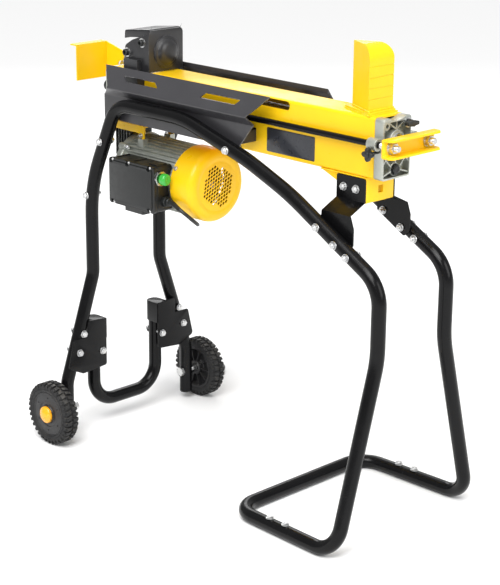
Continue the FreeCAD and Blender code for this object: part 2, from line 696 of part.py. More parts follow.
def make_small_controls():
    """Bleed screw, dipstick, and the control lever behind its guard."""
    wings = [(-14, -4, 2), (-4, -14, 2), (4, -14, 2), (14, -4, 2)]
    wings += [(-y, -z, radius) for y, z, radius in wings]
    knob = plate("XZ", wings, 9, ("beam_front_x + 12", "-beam_half - 31", 790))
    stud = bar(("beam_front_x + 12", "-beam_half - 31.5", 790), "y", 31.2, 3)
    node(fuse(knob, stud), "bleed_screw")
    wing = [(-16, -4, 3), (-9, -7, 3), (9, -7, 3), (16, -4, 3)]
    wing += [(-y, -z, radius) for y, z, radius in wing]
    handle = plate("YZ", wing, 12, ("beam_front_x + cover_depth + 5", 30, 840))
    collar = bar(("beam_front_x + cover_depth + 0.2", 30, 840), "x", 5.5, 7)
    stick = bar(("beam_front_x - 120", 30, 840), "x", "cover_depth + 122", 3)
    node(fuse(handle, collar, stick), "dipstick")
    x, y = dim("lever_guard_x"), dim("lever_guard_y")
    end = block(("lever_guard_x", -42, 803), ("lever_guard_x + sheet", "lever_guard_y + sheet", 885))
    lip_end = ("lever_guard_x + 1", "lever_guard_y + sheet", 885)
    lip = block(("lever_guard_x - 20", -42, "885 - sheet"), lip_end)
    side = [(x, 885), (x + 62, 869), (x + 62, 848, 4), (x + 40, 843, 10), (x + 48, 800, 10)]
    side += [(-353, 785), (-353, 765), (x + 20, 765, 20), (x, 803)]
    wall = plate("XZ", side, "sheet", (0, "lever_guard_y + sheet", 0))
    pin_hole = bar(("lever_x", 40, "lever_z - 40"), "y", 20, 5.0)
    node(cut(fuse(end, lip, wall), pin_hole), "lever_guard")
    pivot = ("lever_x", "lever_guard_y + sheet + 0.3", "lever_z - 40")
    boss = bar(pivot, "y", 12, 9)
    arm_z, grip_x, grip_z = dim("lever_z") - 40, x + 42, 838
    start = dim("lever_x")
    outline = [(start, arm_z - 9, 4), (start, arm_z + 9, 4)]
    outline += [(grip_x + 2, grip_z + 8, 3), (grip_x - 8, grip_z - 6, 3)]
    arm = plate("XZ", outline, 5, (0, "lever_y + 5", 0))
    hole = bar(("lever_x", 40, "lever_z - 40"), "y", 40, 4.05)
    node(cut(fuse(boss, arm), hole), "lever_arm")
    grip = turned([(0, 0), (7, 0), (14, 9, 6), (14, 22, 8), (0, 30)], (grip_x, "lever_y + 5.1", grip_z), "y")
    node(grip, "lever_grip")
    pin = fuse(bar(("lever_x", "beam_half + 4.6", "lever_z - 40"), "y", 22, 4),
               hexagon(("lever_x", "lever_guard_y + sheet + 12.9", "lever_z - 40"), "y", 5, 7))
    node(pin, "lever_pin")


# --- motor and pump -------------------------------------------------------


def make_motor():
    axis = ("motor_rear_x", 0, "motor_z")
    top = "beam_low_z - 0.2"
    end = block((-366, -42, 705), (-363, 42, top))
    flanges = [block((-366, y, 716), (-252, y + 3, top)) for y in (-45, 42)]
    tabs = [block((-272, y, 704.2), (-254, y + 3, 718)) for y in (-45, 42)]
    roof = block((-366, -42.5, "beam_low_z - 3.2"), (-252, 42.5, top))
    node(fuse(end, roof, *flanges, *tabs), "motor_bracket")
    r = dim("motor_r")
    length = dim("motor_front_x - motor_rear_x")
    shell = turned([(r - 8, 0), (r - 3, 0), (r - 3, length), (r - 8, length)], axis, "x")
    fins = []
    for index in range(32):
        angle = 360.0 * index / 32
        beside_box = 50 < angle < 130
        if beside_box:
            continue
        fin = doc.addObject("Part::Box", "fin")
        fin.Length, fin.Width, fin.Height = length, 2.2, 6
        turn = Rotation(Vector(1, 0, 0), angle)
        root = Vector(dim("motor_rear_x"), 0, dim("motor_z"))
        fin.Placement = Placement(root + turn.multVec(Vector(0, -1.1, r - 6)), turn)
        fins.append(fin)
    feet = [block((-272, y, 689), (-254, y + 14, 704)) for y in (-47, 33)]
    flange = turned([(24, 0), (r + 4, 0), (r + 4, 14), (24, 14)], ("motor_rear_x - 14", 0, "motor_z"), "x")
    shield = turned([(8.4, 0), (r - 3, 0), (r - 3, 8), (8.4, 8)], ("motor_front_x", 0, "motor_z"), "x")
    node(fuse(shell, flange, shield, *feet, *fins), "motor_frame")
    windings = [(r - 27, 4), (r - 8.2, 4), (r - 8.2, 90), (r - 27, 90)]
    node(turned(windings, ("motor_rear_x + 25", 0, "motor_z"), "x"), "stator")
    cover_r = dim("fan_cover_r")
    depth = dim("fan_cover_x - motor_front_x") - 1
    outline = [(0, depth - 3), (cover_r - 3, depth - 3, 15), (cover_r - 3, 0), (cover_r, 0)]
    outline += [(cover_r, depth, 18), (0, depth)]
    cover = turned(outline, ("motor_front_x + 1", 0, "motor_z"), "x")
    vents = []
    for ring, count in ((0, 1), (14, 6), (28, 12), (42, 18)):
        for index in range(count):
            angle = 2 * math.pi * index / count
            y, z = (round(ring * turn, 2) for turn in (math.cos(angle), math.sin(angle)))
            vents.append(bar(("fan_cover_x - 12", y, f"motor_z + {z}"), "x", 20, 5.2))
    node(cut(cover, *vents), "fan_cover")
    shaft_start = -375
    shaft = bar((shaft_start, 0, "motor_z"), "x", dim("fan_cover_x") - 20 - shaft_start, "shaft_r")
    rotor = bar(("motor_rear_x + 30", 0, "motor_z"), "x", 80, "motor_r - 28")
    node(fuse(shaft, rotor), "rotor")
    hub_bore = bar(("motor_front_x + 10", 0, "motor_z"), "x", 60, "shaft_r")
    hub = cut(bar(("motor_front_x + 18", 0, "motor_z"), "x", 28, 15), hub_bore)
    blades = []
    for index in range(8):
        blade = doc.addObject("Part::Box", "blade")
        blade.Length, blade.Width, blade.Height = 24, 2.5, 46
        turn = Rotation(Vector(1, 0, 0), 45.0 * index)
        root = Vector(dim("motor_front_x") + 20, 0, dim("motor_z"))
        blade.Placement = Placement(root + turn.multVec(Vector(0, -1.2, 13)), turn)
        blades.append(blade)
    node(fuse(hub, *blades), "fan")


def make_pump():
    """Gear pump in a finned housing behind the motor."""
    profile = [(0, 0), (36, 0, 4), (58, 47, 3), (58, 50), (0, 50)]
    cone = turned(profile, ("motor_rear_x - 14 - 50.2", 0, "motor_z"), "x")
    neck = block((-362.8, -34, 660), (-318, 34, "beam_low_z - 3.4"))
    cavity = bar((-350, 0, "motor_z"), "x", 33, 21.2)
    low_cavity = bar((-350, 0, "motor_z - gear_centres"), "x", 33, 21.2)
    shaft_hole = bar((-378, 0, "motor_z"), "x", 80, "shaft_r + 0.4")
    node(cut(fuse(cone, neck), cavity, low_cavity, shaft_hole), "pump_housing")
    for name, drop, bore in (("drive_gear", 0, True), ("driven_gear", dim("gear_centres"), False)):
        blank = bar((-346, 0, f"motor_z - {drop}"), "x", 20, 14.5)
        teeth = []
        for index in range(10):
            angle = 36.0 * index + (18.0 if drop else 0.0)
            tooth = doc.addObject("Part::Box", "tooth")
            tooth.Length, tooth.Width, tooth.Height = 20, 3.6, 6
            turn = Rotation(Vector(1, 0, 0), angle)
            centre = Vector(-346, 0, dim("motor_z") - drop)
            tooth.Placement = Placement(centre + turn.multVec(Vector(0, -1.8, 12.5)), turn)
            teeth.append(tooth)
        gear = fuse(blank, *teeth)
        if bore:
            gear = cut(gear, bar((-350, 0, "motor_z"), "x", 40, "shaft_r"))
        node(gear, name)


def make_switch_box():
    face = "box_x + box_length"
    y0, y1 = "box_y + 12", "box_y + box_depth"
    z0, z1 = "box_z", "box_z + box_height"
    outer = block(("box_x", y0, z0), (face, y1, z1))
    room = block(("box_x + box_wall", f"{y0} - 1", f"{z0} + box_wall"),
                 (f"{face} - box_wall", "-motor_r - 3.4", f"{z1} - box_wall"))
    seat = bar(("box_x - 1", 0, "motor_z"), "x", "box_length + 2", "motor_r + 0.4")
    button_hole = bar((f"{face} - 5", "button_y", "button_z"), "x", 10, 9)
    gland_hole = bar((f"{face} - 12", "gland_y", "gland_z"), "x", 20, 8)
    lug = block(("box_x + 38", "box_y + 14", "box_z - 14"), ("box_x + 100", "box_y + 39", "box_z + 0.5"))
    node(cut(fuse(outer, lug), room, seat, button_hole, gland_hole), "switch_box")
    lid = block(("box_x", "box_y", z0), (face, "box_y + 11.8", z1))
    lid_room = block(("box_x + box_wall", "box_y + box_wall", f"{z0} + box_wall"),
                     (f"{face} - box_wall", "box_y + 13", f"{z1} - box_wall"))
    node(cut(lid, lid_room), "switch_lid")
    collar = bar((f"{face} + 0.1", "button_y", "button_z"), "x", 5, 17)
    sleeve = bar((f"{face} - 12", "button_y", "button_z"), "x", 13, 8.8)
    bore = bar((f"{face} - 20", "button_y", "button_z"), "x", 40, 7.5)
    node(cut(fuse(collar, sleeve), bore), "button_bezel")
    stem = bar((f"{face} - 8", "button_y", "button_z"), "x", 20, 7)
    cap = bar((f"{face} + 9.6", "button_y", "button_z"), "x", 15, 13)
    node(fuse(stem, cap), "start_button")
    node(bar(("box_x + 8", f"{y0} + 14.2", "box_z + 24"), "x", 66, 13), "capacitor")
    gland = fuse(bar((f"{face} - 8", "gland_y", "gland_z"), "x", 9, 7.8),
                 hexagon((f"{face} + 0.2", "gland_y", "gland_z"), "x", 9, 12),
                 bar((f"{face} + 9", "gland_y", "gland_z"), "x", 8, 9.5),
                 bar((f"{face} + 16", "gland_y", "gland_z"), "x", 8, 6.5))
    passage = bar((f"{face} - 10", "gland_y", "gland_z"), "x", 60, "cord_dia / 2 + fit_gap")
    node(cut(gland, passage), "cable_gland")


# --- mains lead -----------------------------------------------------------

CORD_ROUTE = [
    (-114.4, -86.4, 592.8), (-88, -89, 583.5), (-70.5, -75.5, 566.5), (-70.5, -54, 549),
    (-89, -33, 538.5), (-176, 4, 540), (-170, 58, 550.5), (-176, 76, 562),
    (-208, 98, 592), (-246, 109, 606), (-290, 111, 600), (-335, 118, 580),
    (-372, 127, 546), (-388, 124, 500), (-390, 118, 450), (-387, 118, 398),
    (-388, 128, 345), (-389, 146, 295), (-388, 163, 245), (-395, 182, 196),
    (-420, 208, 160), (-450, 236, 124), (-478, 262, 84), (-494, 288, 42),
    (-504, 307, 15), (-512.5, 325, 4.5),
]


def cord_radii(points):
    """Radius of each arc: as large as its two runs allow."""
    radii = []
    for before, corner, after in zip(points, points[1:], points[2:]):
        first = Vector(*before) - Vector(*corner)
        second = Vector(*after) - Vector(*corner)
        turn = math.pi - first.getAngle(second)
        radii.append(0.45 * min(first.Length, second.Length) / math.tan(turn / 2))
    return radii


def make_cord():
    radii = cord_radii(CORD_ROUTE)
    print("cord radii", [round(radius) for radius in radii])
    path = path_with_bends(CORD_ROUTE, radii)
    cord = doc.addObject("Part::Feature", "cord")
    radius = dim("cord_dia / 2")
    cord.Shape = swept(path, radius)
    expected = math.pi * radius ** 2 * path.Length
    print("cord length", round(path.Length), "volume ratio", round(cord.Shape.Volume / expected, 4))
    node(cord, "power_cord")
    mid, thick, height = dim("coil_mid_r"), 12.0, 16.0
    profile = [(mid - thick, 0, 3), (mid + thick, 0, 3), (mid + thick, height, 3), (mid - thick, height, 3)]
    node(turned(profile, ("coil_x", "coil_y", 0.2), "z"), "cord_coil")
    body = bar(("coil_x - 20", "coil_y - 14", 34.2), "x", 34, 18)
    nose = bar(("coil_x + 13", "coil_y - 14", 34.2), "x", 18, 8)
    pins = [bar(("coil_x - 39", f"coil_y + {y}", 34.2), "x", 20, 2.4) for y in (-23.5, -4.5)]
    node(fuse(body, nose, *pins), "power_plug")


# --- build, check and export ----------------------------------------------


def check_document():
    """Stop if any object failed or any sub-part has no sound shape."""
    doc.recompute()
    for thing in doc.Objects:
        if {"Invalid", "Error"} & set(thing.State):
            raise RuntimeError(f"{thing.Label} ({thing.Name}) failed: {thing.State}")
    for thing in NODES:
        if thing.Shape.isNull() or not thing.Shape.isValid():
            raise RuntimeError(f"{thing.Label} has no sound shape")
        if thing.Shape.Volume <= 0 or not thing.Shape.Solids:
            raise RuntimeError(f"{thing.Label} has no solid")


def main():
    make_stand()
    make_hoop()
    make_front_bracket()
    make_stand_fasteners()
    make_wheels()
    make_beam()
    make_wedge()
    make_guards()
    make_cylinder()
    make_rear_block()
    make_ram()
    make_pusher()
    make_small_controls()
    make_motor()
    make_pump()
    make_switch_box()
    make_cord()
    check_document()
    os.makedirs("parts", exist_ok=True)
    for thing in NODES:
        thing.Shape.exportStep(f"parts/{thing.Label}.step")
    print(len(NODES), "sub-parts")


main()
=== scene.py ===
import json
import math
import random

import bmesh
import bpy
from mathutils import Matrix, Vector


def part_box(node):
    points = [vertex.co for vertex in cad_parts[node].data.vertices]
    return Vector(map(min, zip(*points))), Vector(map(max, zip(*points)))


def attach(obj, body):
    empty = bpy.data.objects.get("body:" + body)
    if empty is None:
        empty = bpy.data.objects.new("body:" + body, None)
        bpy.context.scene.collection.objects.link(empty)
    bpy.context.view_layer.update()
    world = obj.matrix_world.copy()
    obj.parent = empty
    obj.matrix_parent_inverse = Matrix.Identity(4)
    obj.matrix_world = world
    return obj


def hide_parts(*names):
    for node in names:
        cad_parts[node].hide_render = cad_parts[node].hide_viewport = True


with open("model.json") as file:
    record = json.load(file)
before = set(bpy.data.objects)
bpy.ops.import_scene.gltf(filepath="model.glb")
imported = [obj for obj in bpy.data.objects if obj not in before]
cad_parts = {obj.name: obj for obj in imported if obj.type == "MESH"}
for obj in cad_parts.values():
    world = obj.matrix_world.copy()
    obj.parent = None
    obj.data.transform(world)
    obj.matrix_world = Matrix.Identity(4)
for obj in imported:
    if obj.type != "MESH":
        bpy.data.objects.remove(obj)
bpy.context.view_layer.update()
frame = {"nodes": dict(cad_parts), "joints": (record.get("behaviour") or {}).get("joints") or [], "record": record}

# Looks of the log splitter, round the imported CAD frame. Metres, +Z up, floor at z = 0, +X from the pump
# to the wedge. Places come from the boxes of the CAD nodes. "left" is the -Y side, "right" is the +Y side.

LEFT, RIGHT = -1, 1


def low_high(node):
    """Corners of a CAD node's box, and its middle."""
    low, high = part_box(node)
    return low, high, (low + high) / 2


# --- camera, light and floor -----------------------------------------------

CAMERA_PLACE = Vector((2.4969, -2.4151, 1.5007))
CAMERA_AZIMUTH = math.radians(45.5)
CAMERA_ELEVATION = math.radians(17.6)
CAMERA_ROLL = math.radians(0.5)
CAMERA_LENS = 102.8


def make_camera():
    """Camera that looks along the beam from the wedge end, a little from above."""
    back = Vector((
        math.sin(CAMERA_AZIMUTH) * math.cos(CAMERA_ELEVATION),
        -math.cos(CAMERA_AZIMUTH) * math.cos(CAMERA_ELEVATION),
        math.sin(CAMERA_ELEVATION),
    ))
    level = Vector((math.cos(CAMERA_AZIMUTH), math.sin(CAMERA_AZIMUTH), 0))
    upright = back.cross(level)
    right = level * math.cos(CAMERA_ROLL) + upright * math.sin(CAMERA_ROLL)
    up = upright * math.cos(CAMERA_ROLL) - level * math.sin(CAMERA_ROLL)
    data = bpy.data.cameras.new("camera")
    data.lens = CAMERA_LENS
    data.sensor_width = 36.0
    data.clip_end = 100.0
    camera = bpy.data.objects.new("camera", data)
    turn = Matrix((right, up, back)).transposed().to_4x4()
    camera.matrix_world = Matrix.Translation(CAMERA_PLACE) @ turn
    bpy.context.scene.collection.objects.link(camera)
    bpy.context.scene.camera = camera


def add_light(name, place, target, size, power):
    """Rectangular soft light that points at a target."""
    data = bpy.data.lights.new(name, "AREA")
    data.shape = "RECTANGLE"
    data.size, data.size_y = size
    data.energy = power
    light = bpy.data.objects.new(name, data)
    light.location = place
    light.rotation_euler = (Vector(target) - Vector(place)).to_track_quat("-Z", "Y").to_euler()
    bpy.context.scene.collection.objects.link(light)


def make_studio():
    """Wide pale floor, an even soft sun and four large soft lights."""
    middle = (0, 0, 0.5)
    add_light("key_light", (1.4, -3.0, 3.2), middle, (2.4, 1.8), 95)
    add_light("fill_light", (3.4, 0.6, 2.0), middle, (2.0, 2.0), 45)
    add_light("top_light", (-0.4, 0.4, 3.8), middle, (3.0, 3.0), 22)
    add_light("back_light", (-3.0, 2.4, 2.6), middle, (2.2, 1.6), 40)
    data = bpy.data.lights.new("soft_sun", "SUN")
    data.energy = 2.1
    data.angle = math.radians(35)
    sun = bpy.data.objects.new("soft_sun", data)
    sun.rotation_euler = Vector((-0.35, 0.45, -1.0)).to_track_quat("-Z", "Y").to_euler()
    bpy.context.scene.collection.objects.link(sun)
    world = bpy.data.worlds.new("studio")
    world.use_nodes = True
    background = world.node_tree.nodes["Background"]
    background.inputs["Color"].default_value = (1, 1, 1, 1)
    background.inputs["Strength"].default_value = 0.42
    bpy.context.scene.world = world
    bpy.context.scene.view_settings.view_transform = "Standard"
    mesh = bpy.data.meshes.new("floor")
    reach = 60.0
    mesh.from_pydata([(-reach, -reach, 0), (reach, -reach, 0), (reach, reach, 0), (-reach, reach, 0)], [],
                     [(0, 1, 2, 3)])
    floor = bpy.data.objects.new("floor", mesh)
    bpy.context.scene.collection.objects.link(floor)
    pale = bpy.data.materials.new("pale_floor")
    pale.use_nodes = True
    shader = pale.node_tree.nodes["Principled BSDF"]
    shader.inputs["Base Color"].default_value = (0.92, 0.92, 0.92, 1)
    shader.inputs["Roughness"].default_value = 0.85
    shader.inputs["Specular IOR Level"].default_value = 0.1
    mesh.materials.append(pale)


# --- materials ---------------------------------------------------------------


class Look:
    """One node material. Patterns use object coordinates, which are the row frame's own at rest."""

    def __init__(self, name, color, roughness, metallic=0.0):
        """Start from one plain colour, which the other methods build on."""
        self.material = bpy.data.materials.new(name)
        self.material.use_nodes = True
        self.tree = self.material.node_tree
        self.shader = self.tree.nodes["Principled BSDF"]
        self.color = (*color, 1.0)
        self.shader.inputs["Base Color"].default_value = self.color
        self.shader.inputs["Roughness"].default_value = roughness
        self.shader.inputs["Metallic"].default_value = metallic
        self.coordinates = self.tree.nodes.new("ShaderNodeTexCoord").outputs["Object"]
        self.paint = None
        self.normal = None

    def node(self, kind, **inputs):
        """Add a shader node and set or link its inputs."""
        made = self.tree.nodes.new("ShaderNode" + kind)
        for name, value in inputs.items():
            socket = made.inputs[name.replace("_", " ")]
            if isinstance(value, bpy.types.NodeSocket):
                self.tree.links.new(value, socket)
            else:
                socket.default_value = value
        return made

    def stretched(self, scale):
        """Object coordinates scaled differently along each axis."""
        return self.node("Mapping", Vector=self.coordinates, Scale=scale).outputs["Vector"]

    def noise(self, scale, detail=4.0, roughness=0.55, vector=None):
        """Soft noise from 0 to 1."""
        made = self.node("TexNoise", Scale=scale, Detail=detail, Roughness=roughness,
                         Vector=vector or self.coordinates)
        return made.outputs["Fac"]

    def cells(self, scale, feature="F1"):
        """Distance to the nearest of many scattered points."""
        made = self.node("TexVoronoi", Scale=scale, Vector=self.coordinates)
        made.feature = feature
        return made.outputs["Distance"]

    def ramp(self, source, low, high, start=0.0, end=1.0):
        """Map a value between two limits to a value between start and end."""
        made = self.node("MapRange", Value=source)
        made.clamp = True
        for name, value in (("From Min", low), ("From Max", high), ("To Min", start), ("To Max", end)):
            made.inputs[name].default_value = value
        return made.outputs["Result"]

    def tint(self, amount, color):
        """Mix another colour over the base by an amount from 0 to 1."""
        made = self.tree.nodes.new("ShaderNodeMix")
        made.data_type = "RGBA"
        self.tree.links.new(amount, made.inputs["Factor"])
        if self.paint is None:
            made.inputs[6].default_value = self.color
        else:
            self.tree.links.new(self.paint, made.inputs[6])
        made.inputs[7].default_value = (*color, 1.0)
        self.paint = made.outputs[2]
        self.tree.links.new(self.paint, self.shader.inputs["Base Color"])

    def rough(self, source):
        """Drive the roughness by a pattern."""
        self.tree.links.new(source, self.shader.inputs["Roughness"])

    def bump(self, height, distance, strength=1.0):
        """Add relief on top of the relief that is already there."""
        made = self.node("Bump", Height=height, Distance=distance, Strength=strength)
        if self.normal is not None:
            self.tree.links.new(self.normal, made.inputs["Normal"])
        self.normal = made.outputs["Normal"]
        self.tree.links.new(self.normal, self.shader.inputs["Normal"])

    def edges(self, radius, low=0.02, high=0.25):
        """How close a point is to a sharp edge, from 0 to 1, broken up by noise."""
        bevel = self.node("Bevel", Radius=radius)
        bevel.samples = 4
        geometry = self.tree.nodes.new("ShaderNodeNewGeometry")
        dot = self.node("VectorMath")
        dot.operation = "DOT_PRODUCT"
        self.tree.links.new(bevel.outputs["Normal"], dot.inputs[0])
        self.tree.links.new(geometry.outputs["True Normal"], dot.inputs[1])
        lost = self.ramp(dot.outputs["Value"], 1.0 - low, 1.0 - high)
        patchy = self.ramp(self.noise(90, 5), 0.45, 0.62)
        both = self.node("Math")
        both.operation = "MULTIPLY"
        self.tree.links.new(lost, both.inputs[0])
        self.tree.links.new(patchy, both.inputs[1])
        return both.outputs["Value"]

    def up_faces(self):
        """How far a surface looks up, for dust."""
        geometry = self.tree.nodes.new("ShaderNodeNewGeometry")
        parts = self.node("SeparateXYZ", Vector=geometry.outputs["Normal"])
        return self.ramp(parts.outputs["Z"], 0.3, 1.0)


def painted(name, color, shade, chip, roughness, peel=0.00006, coat=0.0, wear=0.5, specular=0.5):
    """Powder coat: slow colour drift, orange peel, dull patches and chips along sharp edges."""
    look = Look(name, color, roughness)
    look.tint(look.ramp(look.noise(9, 3), 0.35, 0.7, 0.0, 0.55), shade)
    look.tint(look.ramp(look.noise(220, 2), 0.62, 0.75, 0.0, 0.25), shade)
    look.tint(look.ramp(look.edges(0.0012), 0.0, 1.0, 0.0, wear), chip)
    look.rough(look.ramp(look.noise(35, 5), 0.3, 0.75, roughness - 0.07, roughness + 0.1))
    look.bump(look.noise(420, 2), peel)
    look.bump(look.noise(55, 2), peel * 3, 0.4)
    look.shader.inputs["Coat Weight"].default_value = coat
    look.shader.inputs["Coat Roughness"].default_value = 0.12
    look.shader.inputs["Specular IOR Level"].default_value = specular
    return look.material


def cast_metal(name, color, dark, roughness, grain=0.00025):
    """Die casting: fine grain, cloudy colour, brighter where it was rubbed along the edges."""
    look = Look(name, color, roughness, 0.75)
    look.tint(look.ramp(look.noise(28, 5), 0.35, 0.7, 0.0, 0.6), dark)
    look.tint(look.ramp(look.cells(260), 0.0, 0.35, 0.25, 0.0), dark)
    look.tint(look.edges(0.001), (0.78, 0.78, 0.75))
    look.rough(look.ramp(look.noise(60, 6), 0.3, 0.7, roughness - 0.08, roughness + 0.12))
    look.bump(look.noise(900, 3), grain * 0.5)
    look.bump(look.noise(240, 4), grain, 0.7)
    return look.material


def bright_metal(name, color, roughness, drift, brushed=(60, 900, 900), depth=0.00002):
    """Plated or ground steel: cloudy tint and fine lines along one axis."""
    look = Look(name, color, roughness, 1.0)
    look.tint(look.ramp(look.noise(40, 4), 0.35, 0.7, 0.0, 0.7), drift)
    lines = look.noise(1.0, 2, 0.6, look.stretched(brushed))
    look.rough(look.ramp(lines, 0.3, 0.7, roughness - 0.04, roughness + 0.08))
    look.bump(lines, depth)
    return look.material


def moulded(name, color, pale, roughness, grain=0.00008, dust=0.0, scale=700, coat=0.0):
    """Moulded plastic or rubber: fine spark texture, soft colour drift and a little dust on top."""
    look = Look(name, color, roughness)
    look.tint(look.ramp(look.noise(18, 4), 0.4, 0.75, 0.0, 0.5), pale)
    if dust:
        amount = look.node("Math")
        amount.operation = "MULTIPLY"
        look.tree.links.new(look.up_faces(), amount.inputs[0])
        look.tree.links.new(look.ramp(look.noise(70, 6), 0.4, 0.7, 0.0, dust), amount.inputs[1])
        look.tint(amount.outputs["Value"], (0.20, 0.19, 0.17))
    look.rough(look.ramp(look.noise(90, 5), 0.3, 0.75, roughness - 0.06, roughness + 0.1))
    look.bump(look.noise(scale, 2), grain)
    look.shader.inputs["Coat Weight"].default_value = coat
    return look.material


def winding_look():
    """Enamelled wire laid in rings."""
    look = Look("winding_copper", (0.42, 0.15, 0.05), 0.35, 1.0)
    wires = look.node("TexWave", Scale=260.0, Distortion=1.2, Vector=look.coordinates)
    look.bump(wires.outputs["Fac"], 0.0004)
    look.tint(look.ramp(look.noise(120, 4), 0.4, 0.7, 0.0, 0.6), (0.28, 0.09, 0.03))
    return look.material


def make_materials():
    """Every look by its name. The first ones are the record's material slots."""
    return {
        "yellow_paint": painted("yellow_paint", (0.93, 0.575, 0.006), (0.90, 0.50, 0.004),
                                (0.55, 0.27, 0.03), 0.34, coat=0.12, wear=0.45, specular=0.28),
        "grey_paint": painted("grey_paint", (0.040, 0.039, 0.043), (0.029, 0.029, 0.032),
                              (0.42, 0.42, 0.42), 0.38, coat=0.1, wear=0.75),
        "black_paint": painted("black_paint", (0.0034, 0.0034, 0.0037), (0.0065, 0.0065, 0.0072),
                               (0.09, 0.09, 0.09), 0.20, coat=0.0, wear=0.5, specular=0.18),
        "ram_paint": painted("ram_paint", (0.020, 0.020, 0.022), (0.013, 0.013, 0.015),
                             (0.26, 0.26, 0.26), 0.36, coat=0.1, wear=0.8),
        "cast_aluminium": cast_metal("cast_aluminium", (0.50, 0.52, 0.47), (0.33, 0.35, 0.32), 0.42),
        "dark_casting": cast_metal("dark_casting", (0.060, 0.065, 0.062), (0.030, 0.033, 0.032), 0.46),
        "zinc_steel": bright_metal("zinc_steel", (0.70, 0.70, 0.69), 0.28, (0.52, 0.53, 0.55)),
        "chrome_rod": bright_metal("chrome_rod", (0.82, 0.82, 0.83), 0.09, (0.70, 0.71, 0.74),
                                   (900, 60, 60), 0.000004),
        "machined_steel": bright_metal("machined_steel", (0.42, 0.42, 0.43), 0.33, (0.28, 0.28, 0.30),
                                       (900, 80, 80), 0.00003),
        "black_plastic": moulded("black_plastic", (0.0085, 0.0105, 0.0100), (0.016, 0.020, 0.019), 0.42,
                                 coat=0.05),
        "tyre_rubber": moulded("tyre_rubber", (0.0075, 0.0075, 0.0080), (0.017, 0.017, 0.017), 0.66,
                               0.00016, 0.5, 420),
        "rim_plastic": moulded("rim_plastic", (0.013, 0.013, 0.014), (0.021, 0.021, 0.022), 0.45,
                               dust=0.25),
        "hub_plastic": moulded("hub_plastic", (0.93, 0.42, 0.012), (0.86, 0.33, 0.008), 0.28, 0.00003,
                               coat=0.3),
        "green_plastic": moulded("green_plastic", (0.035, 0.40, 0.045), (0.020, 0.29, 0.030), 0.22,
                                 0.00002, coat=0.4),
        "cord_rubber": moulded("cord_rubber", (0.0075, 0.0080, 0.0080), (0.014, 0.015, 0.015), 0.36,
                               0.00005),
        "winding_copper": winding_look(),
        "switch_plastic": moulded("switch_plastic", (0.0075, 0.0085, 0.0085), (0.013, 0.015, 0.015), 0.36,
                                  0.00003),
        "label_film": moulded("label_film", (0.018, 0.020, 0.026), (0.030, 0.033, 0.040), 0.30, 0.00002,
                              coat=0.3),
    }


def give(piece, material):
    """Put one material on a piece in place of any others."""
    piece.data.materials.clear()
    piece.data.materials.append(material)


# --- mesh helpers --------------------------------------------------------------


def put(name, shape, body, slot, hides=(), bevel=0.0, sharp=32, material=None):
    """Finish a piece from one shell or a list of shells: rounded edges, shading, material and body."""
    mesh = mesh_of(merged(*shape) if isinstance(shape, list) else shape)
    piece = bpy.data.objects.new(name, mesh)
    bpy.context.scene.collection.objects.link(piece)
    if bevel:
        rounding = piece.modifiers.new("rounded_edges", "BEVEL")
        rounding.width = bevel
        rounding.segments = 3
        rounding.limit_method = "ANGLE"
        rounding.angle_limit = math.radians(28)
        rounding.use_clamp_overlap = True
        rounding.harden_normals = True
    mesh.polygons.foreach_set("use_smooth", [True] * len(mesh.polygons))
    mesh.set_sharp_from_angle(angle=math.radians(sharp))
    mesh.materials.clear()
    mesh.materials.append(LOOKS[material or slot])
    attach(piece, body)
    if hides:
        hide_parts(*hides)
    return piece


def mesh_of(bm, name="mesh"):
    """Finished mesh with its faces turned outwards."""
    bmesh.ops.recalc_face_normals(bm, faces=bm.faces)
    mesh = bpy.data.meshes.new(name)
    bm.to_mesh(mesh)
    bm.free()
    return mesh


def axes(origin, x_axis, y_axis):
    """Placement whose local x and y run along two directions."""
    x_axis, y_axis = Vector(x_axis).normalized(), Vector(y_axis).normalized()
    turn = Matrix((x_axis, y_axis, x_axis.cross(y_axis))).transposed().to_4x4()
    return Matrix.Translation(Vector(origin)) @ turn


def rounded(points, step=12.0):
    """Outline of (x, y) or (x, y, radius) corners, with arcs of short steps at the rounded ones."""
    outline = []
    for index, corner in enumerate(points):
        here = Vector(corner[:2])
        if len(corner) < 3 or corner[2] <= 0:
            outline.append(here)
            continue
        before = (Vector(points[index - 1][:2]) - here).normalized()
        after = (Vector(points[(index + 1) % len(points)][:2]) - here).normalized()
        half = before.angle(after) / 2
        centre = here + (before + after).normalized() * corner[2] / math.sin(half)
        start = here + before * corner[2] / math.tan(half) - centre
        turn = math.pi - 2 * half
        if before.x * after.y - before.y * after.x > 0:
            turn = -turn
        count = max(2, math.ceil(abs(math.degrees(turn)) / step))
        for part in range(count + 1):
            angle = turn * part / count
            across = Vector((start.x * math.cos(angle) - start.y * math.sin(angle),
                             start.x * math.sin(angle) + start.y * math.cos(angle)))
            outline.append(centre + across)
    return outline


def oblong(low, high, corner=0.0):
    """Corners of a rectangle between two opposite ones, with one radius."""
    return [(low[0], low[1], corner), (high[0], low[1], corner), (high[0], high[1], corner),
            (low[0], high[1], corner)]


def ring(radius, centre=(0, 0), count=24, start=0.0):
    """Points of a circle or of a regular polygon."""
    return [Vector((centre[0] + radius * math.cos(start + 2 * math.pi * part / count),
                    centre[1] + radius * math.sin(start + 2 * math.pi * part / count)))
            for part in range(count)]


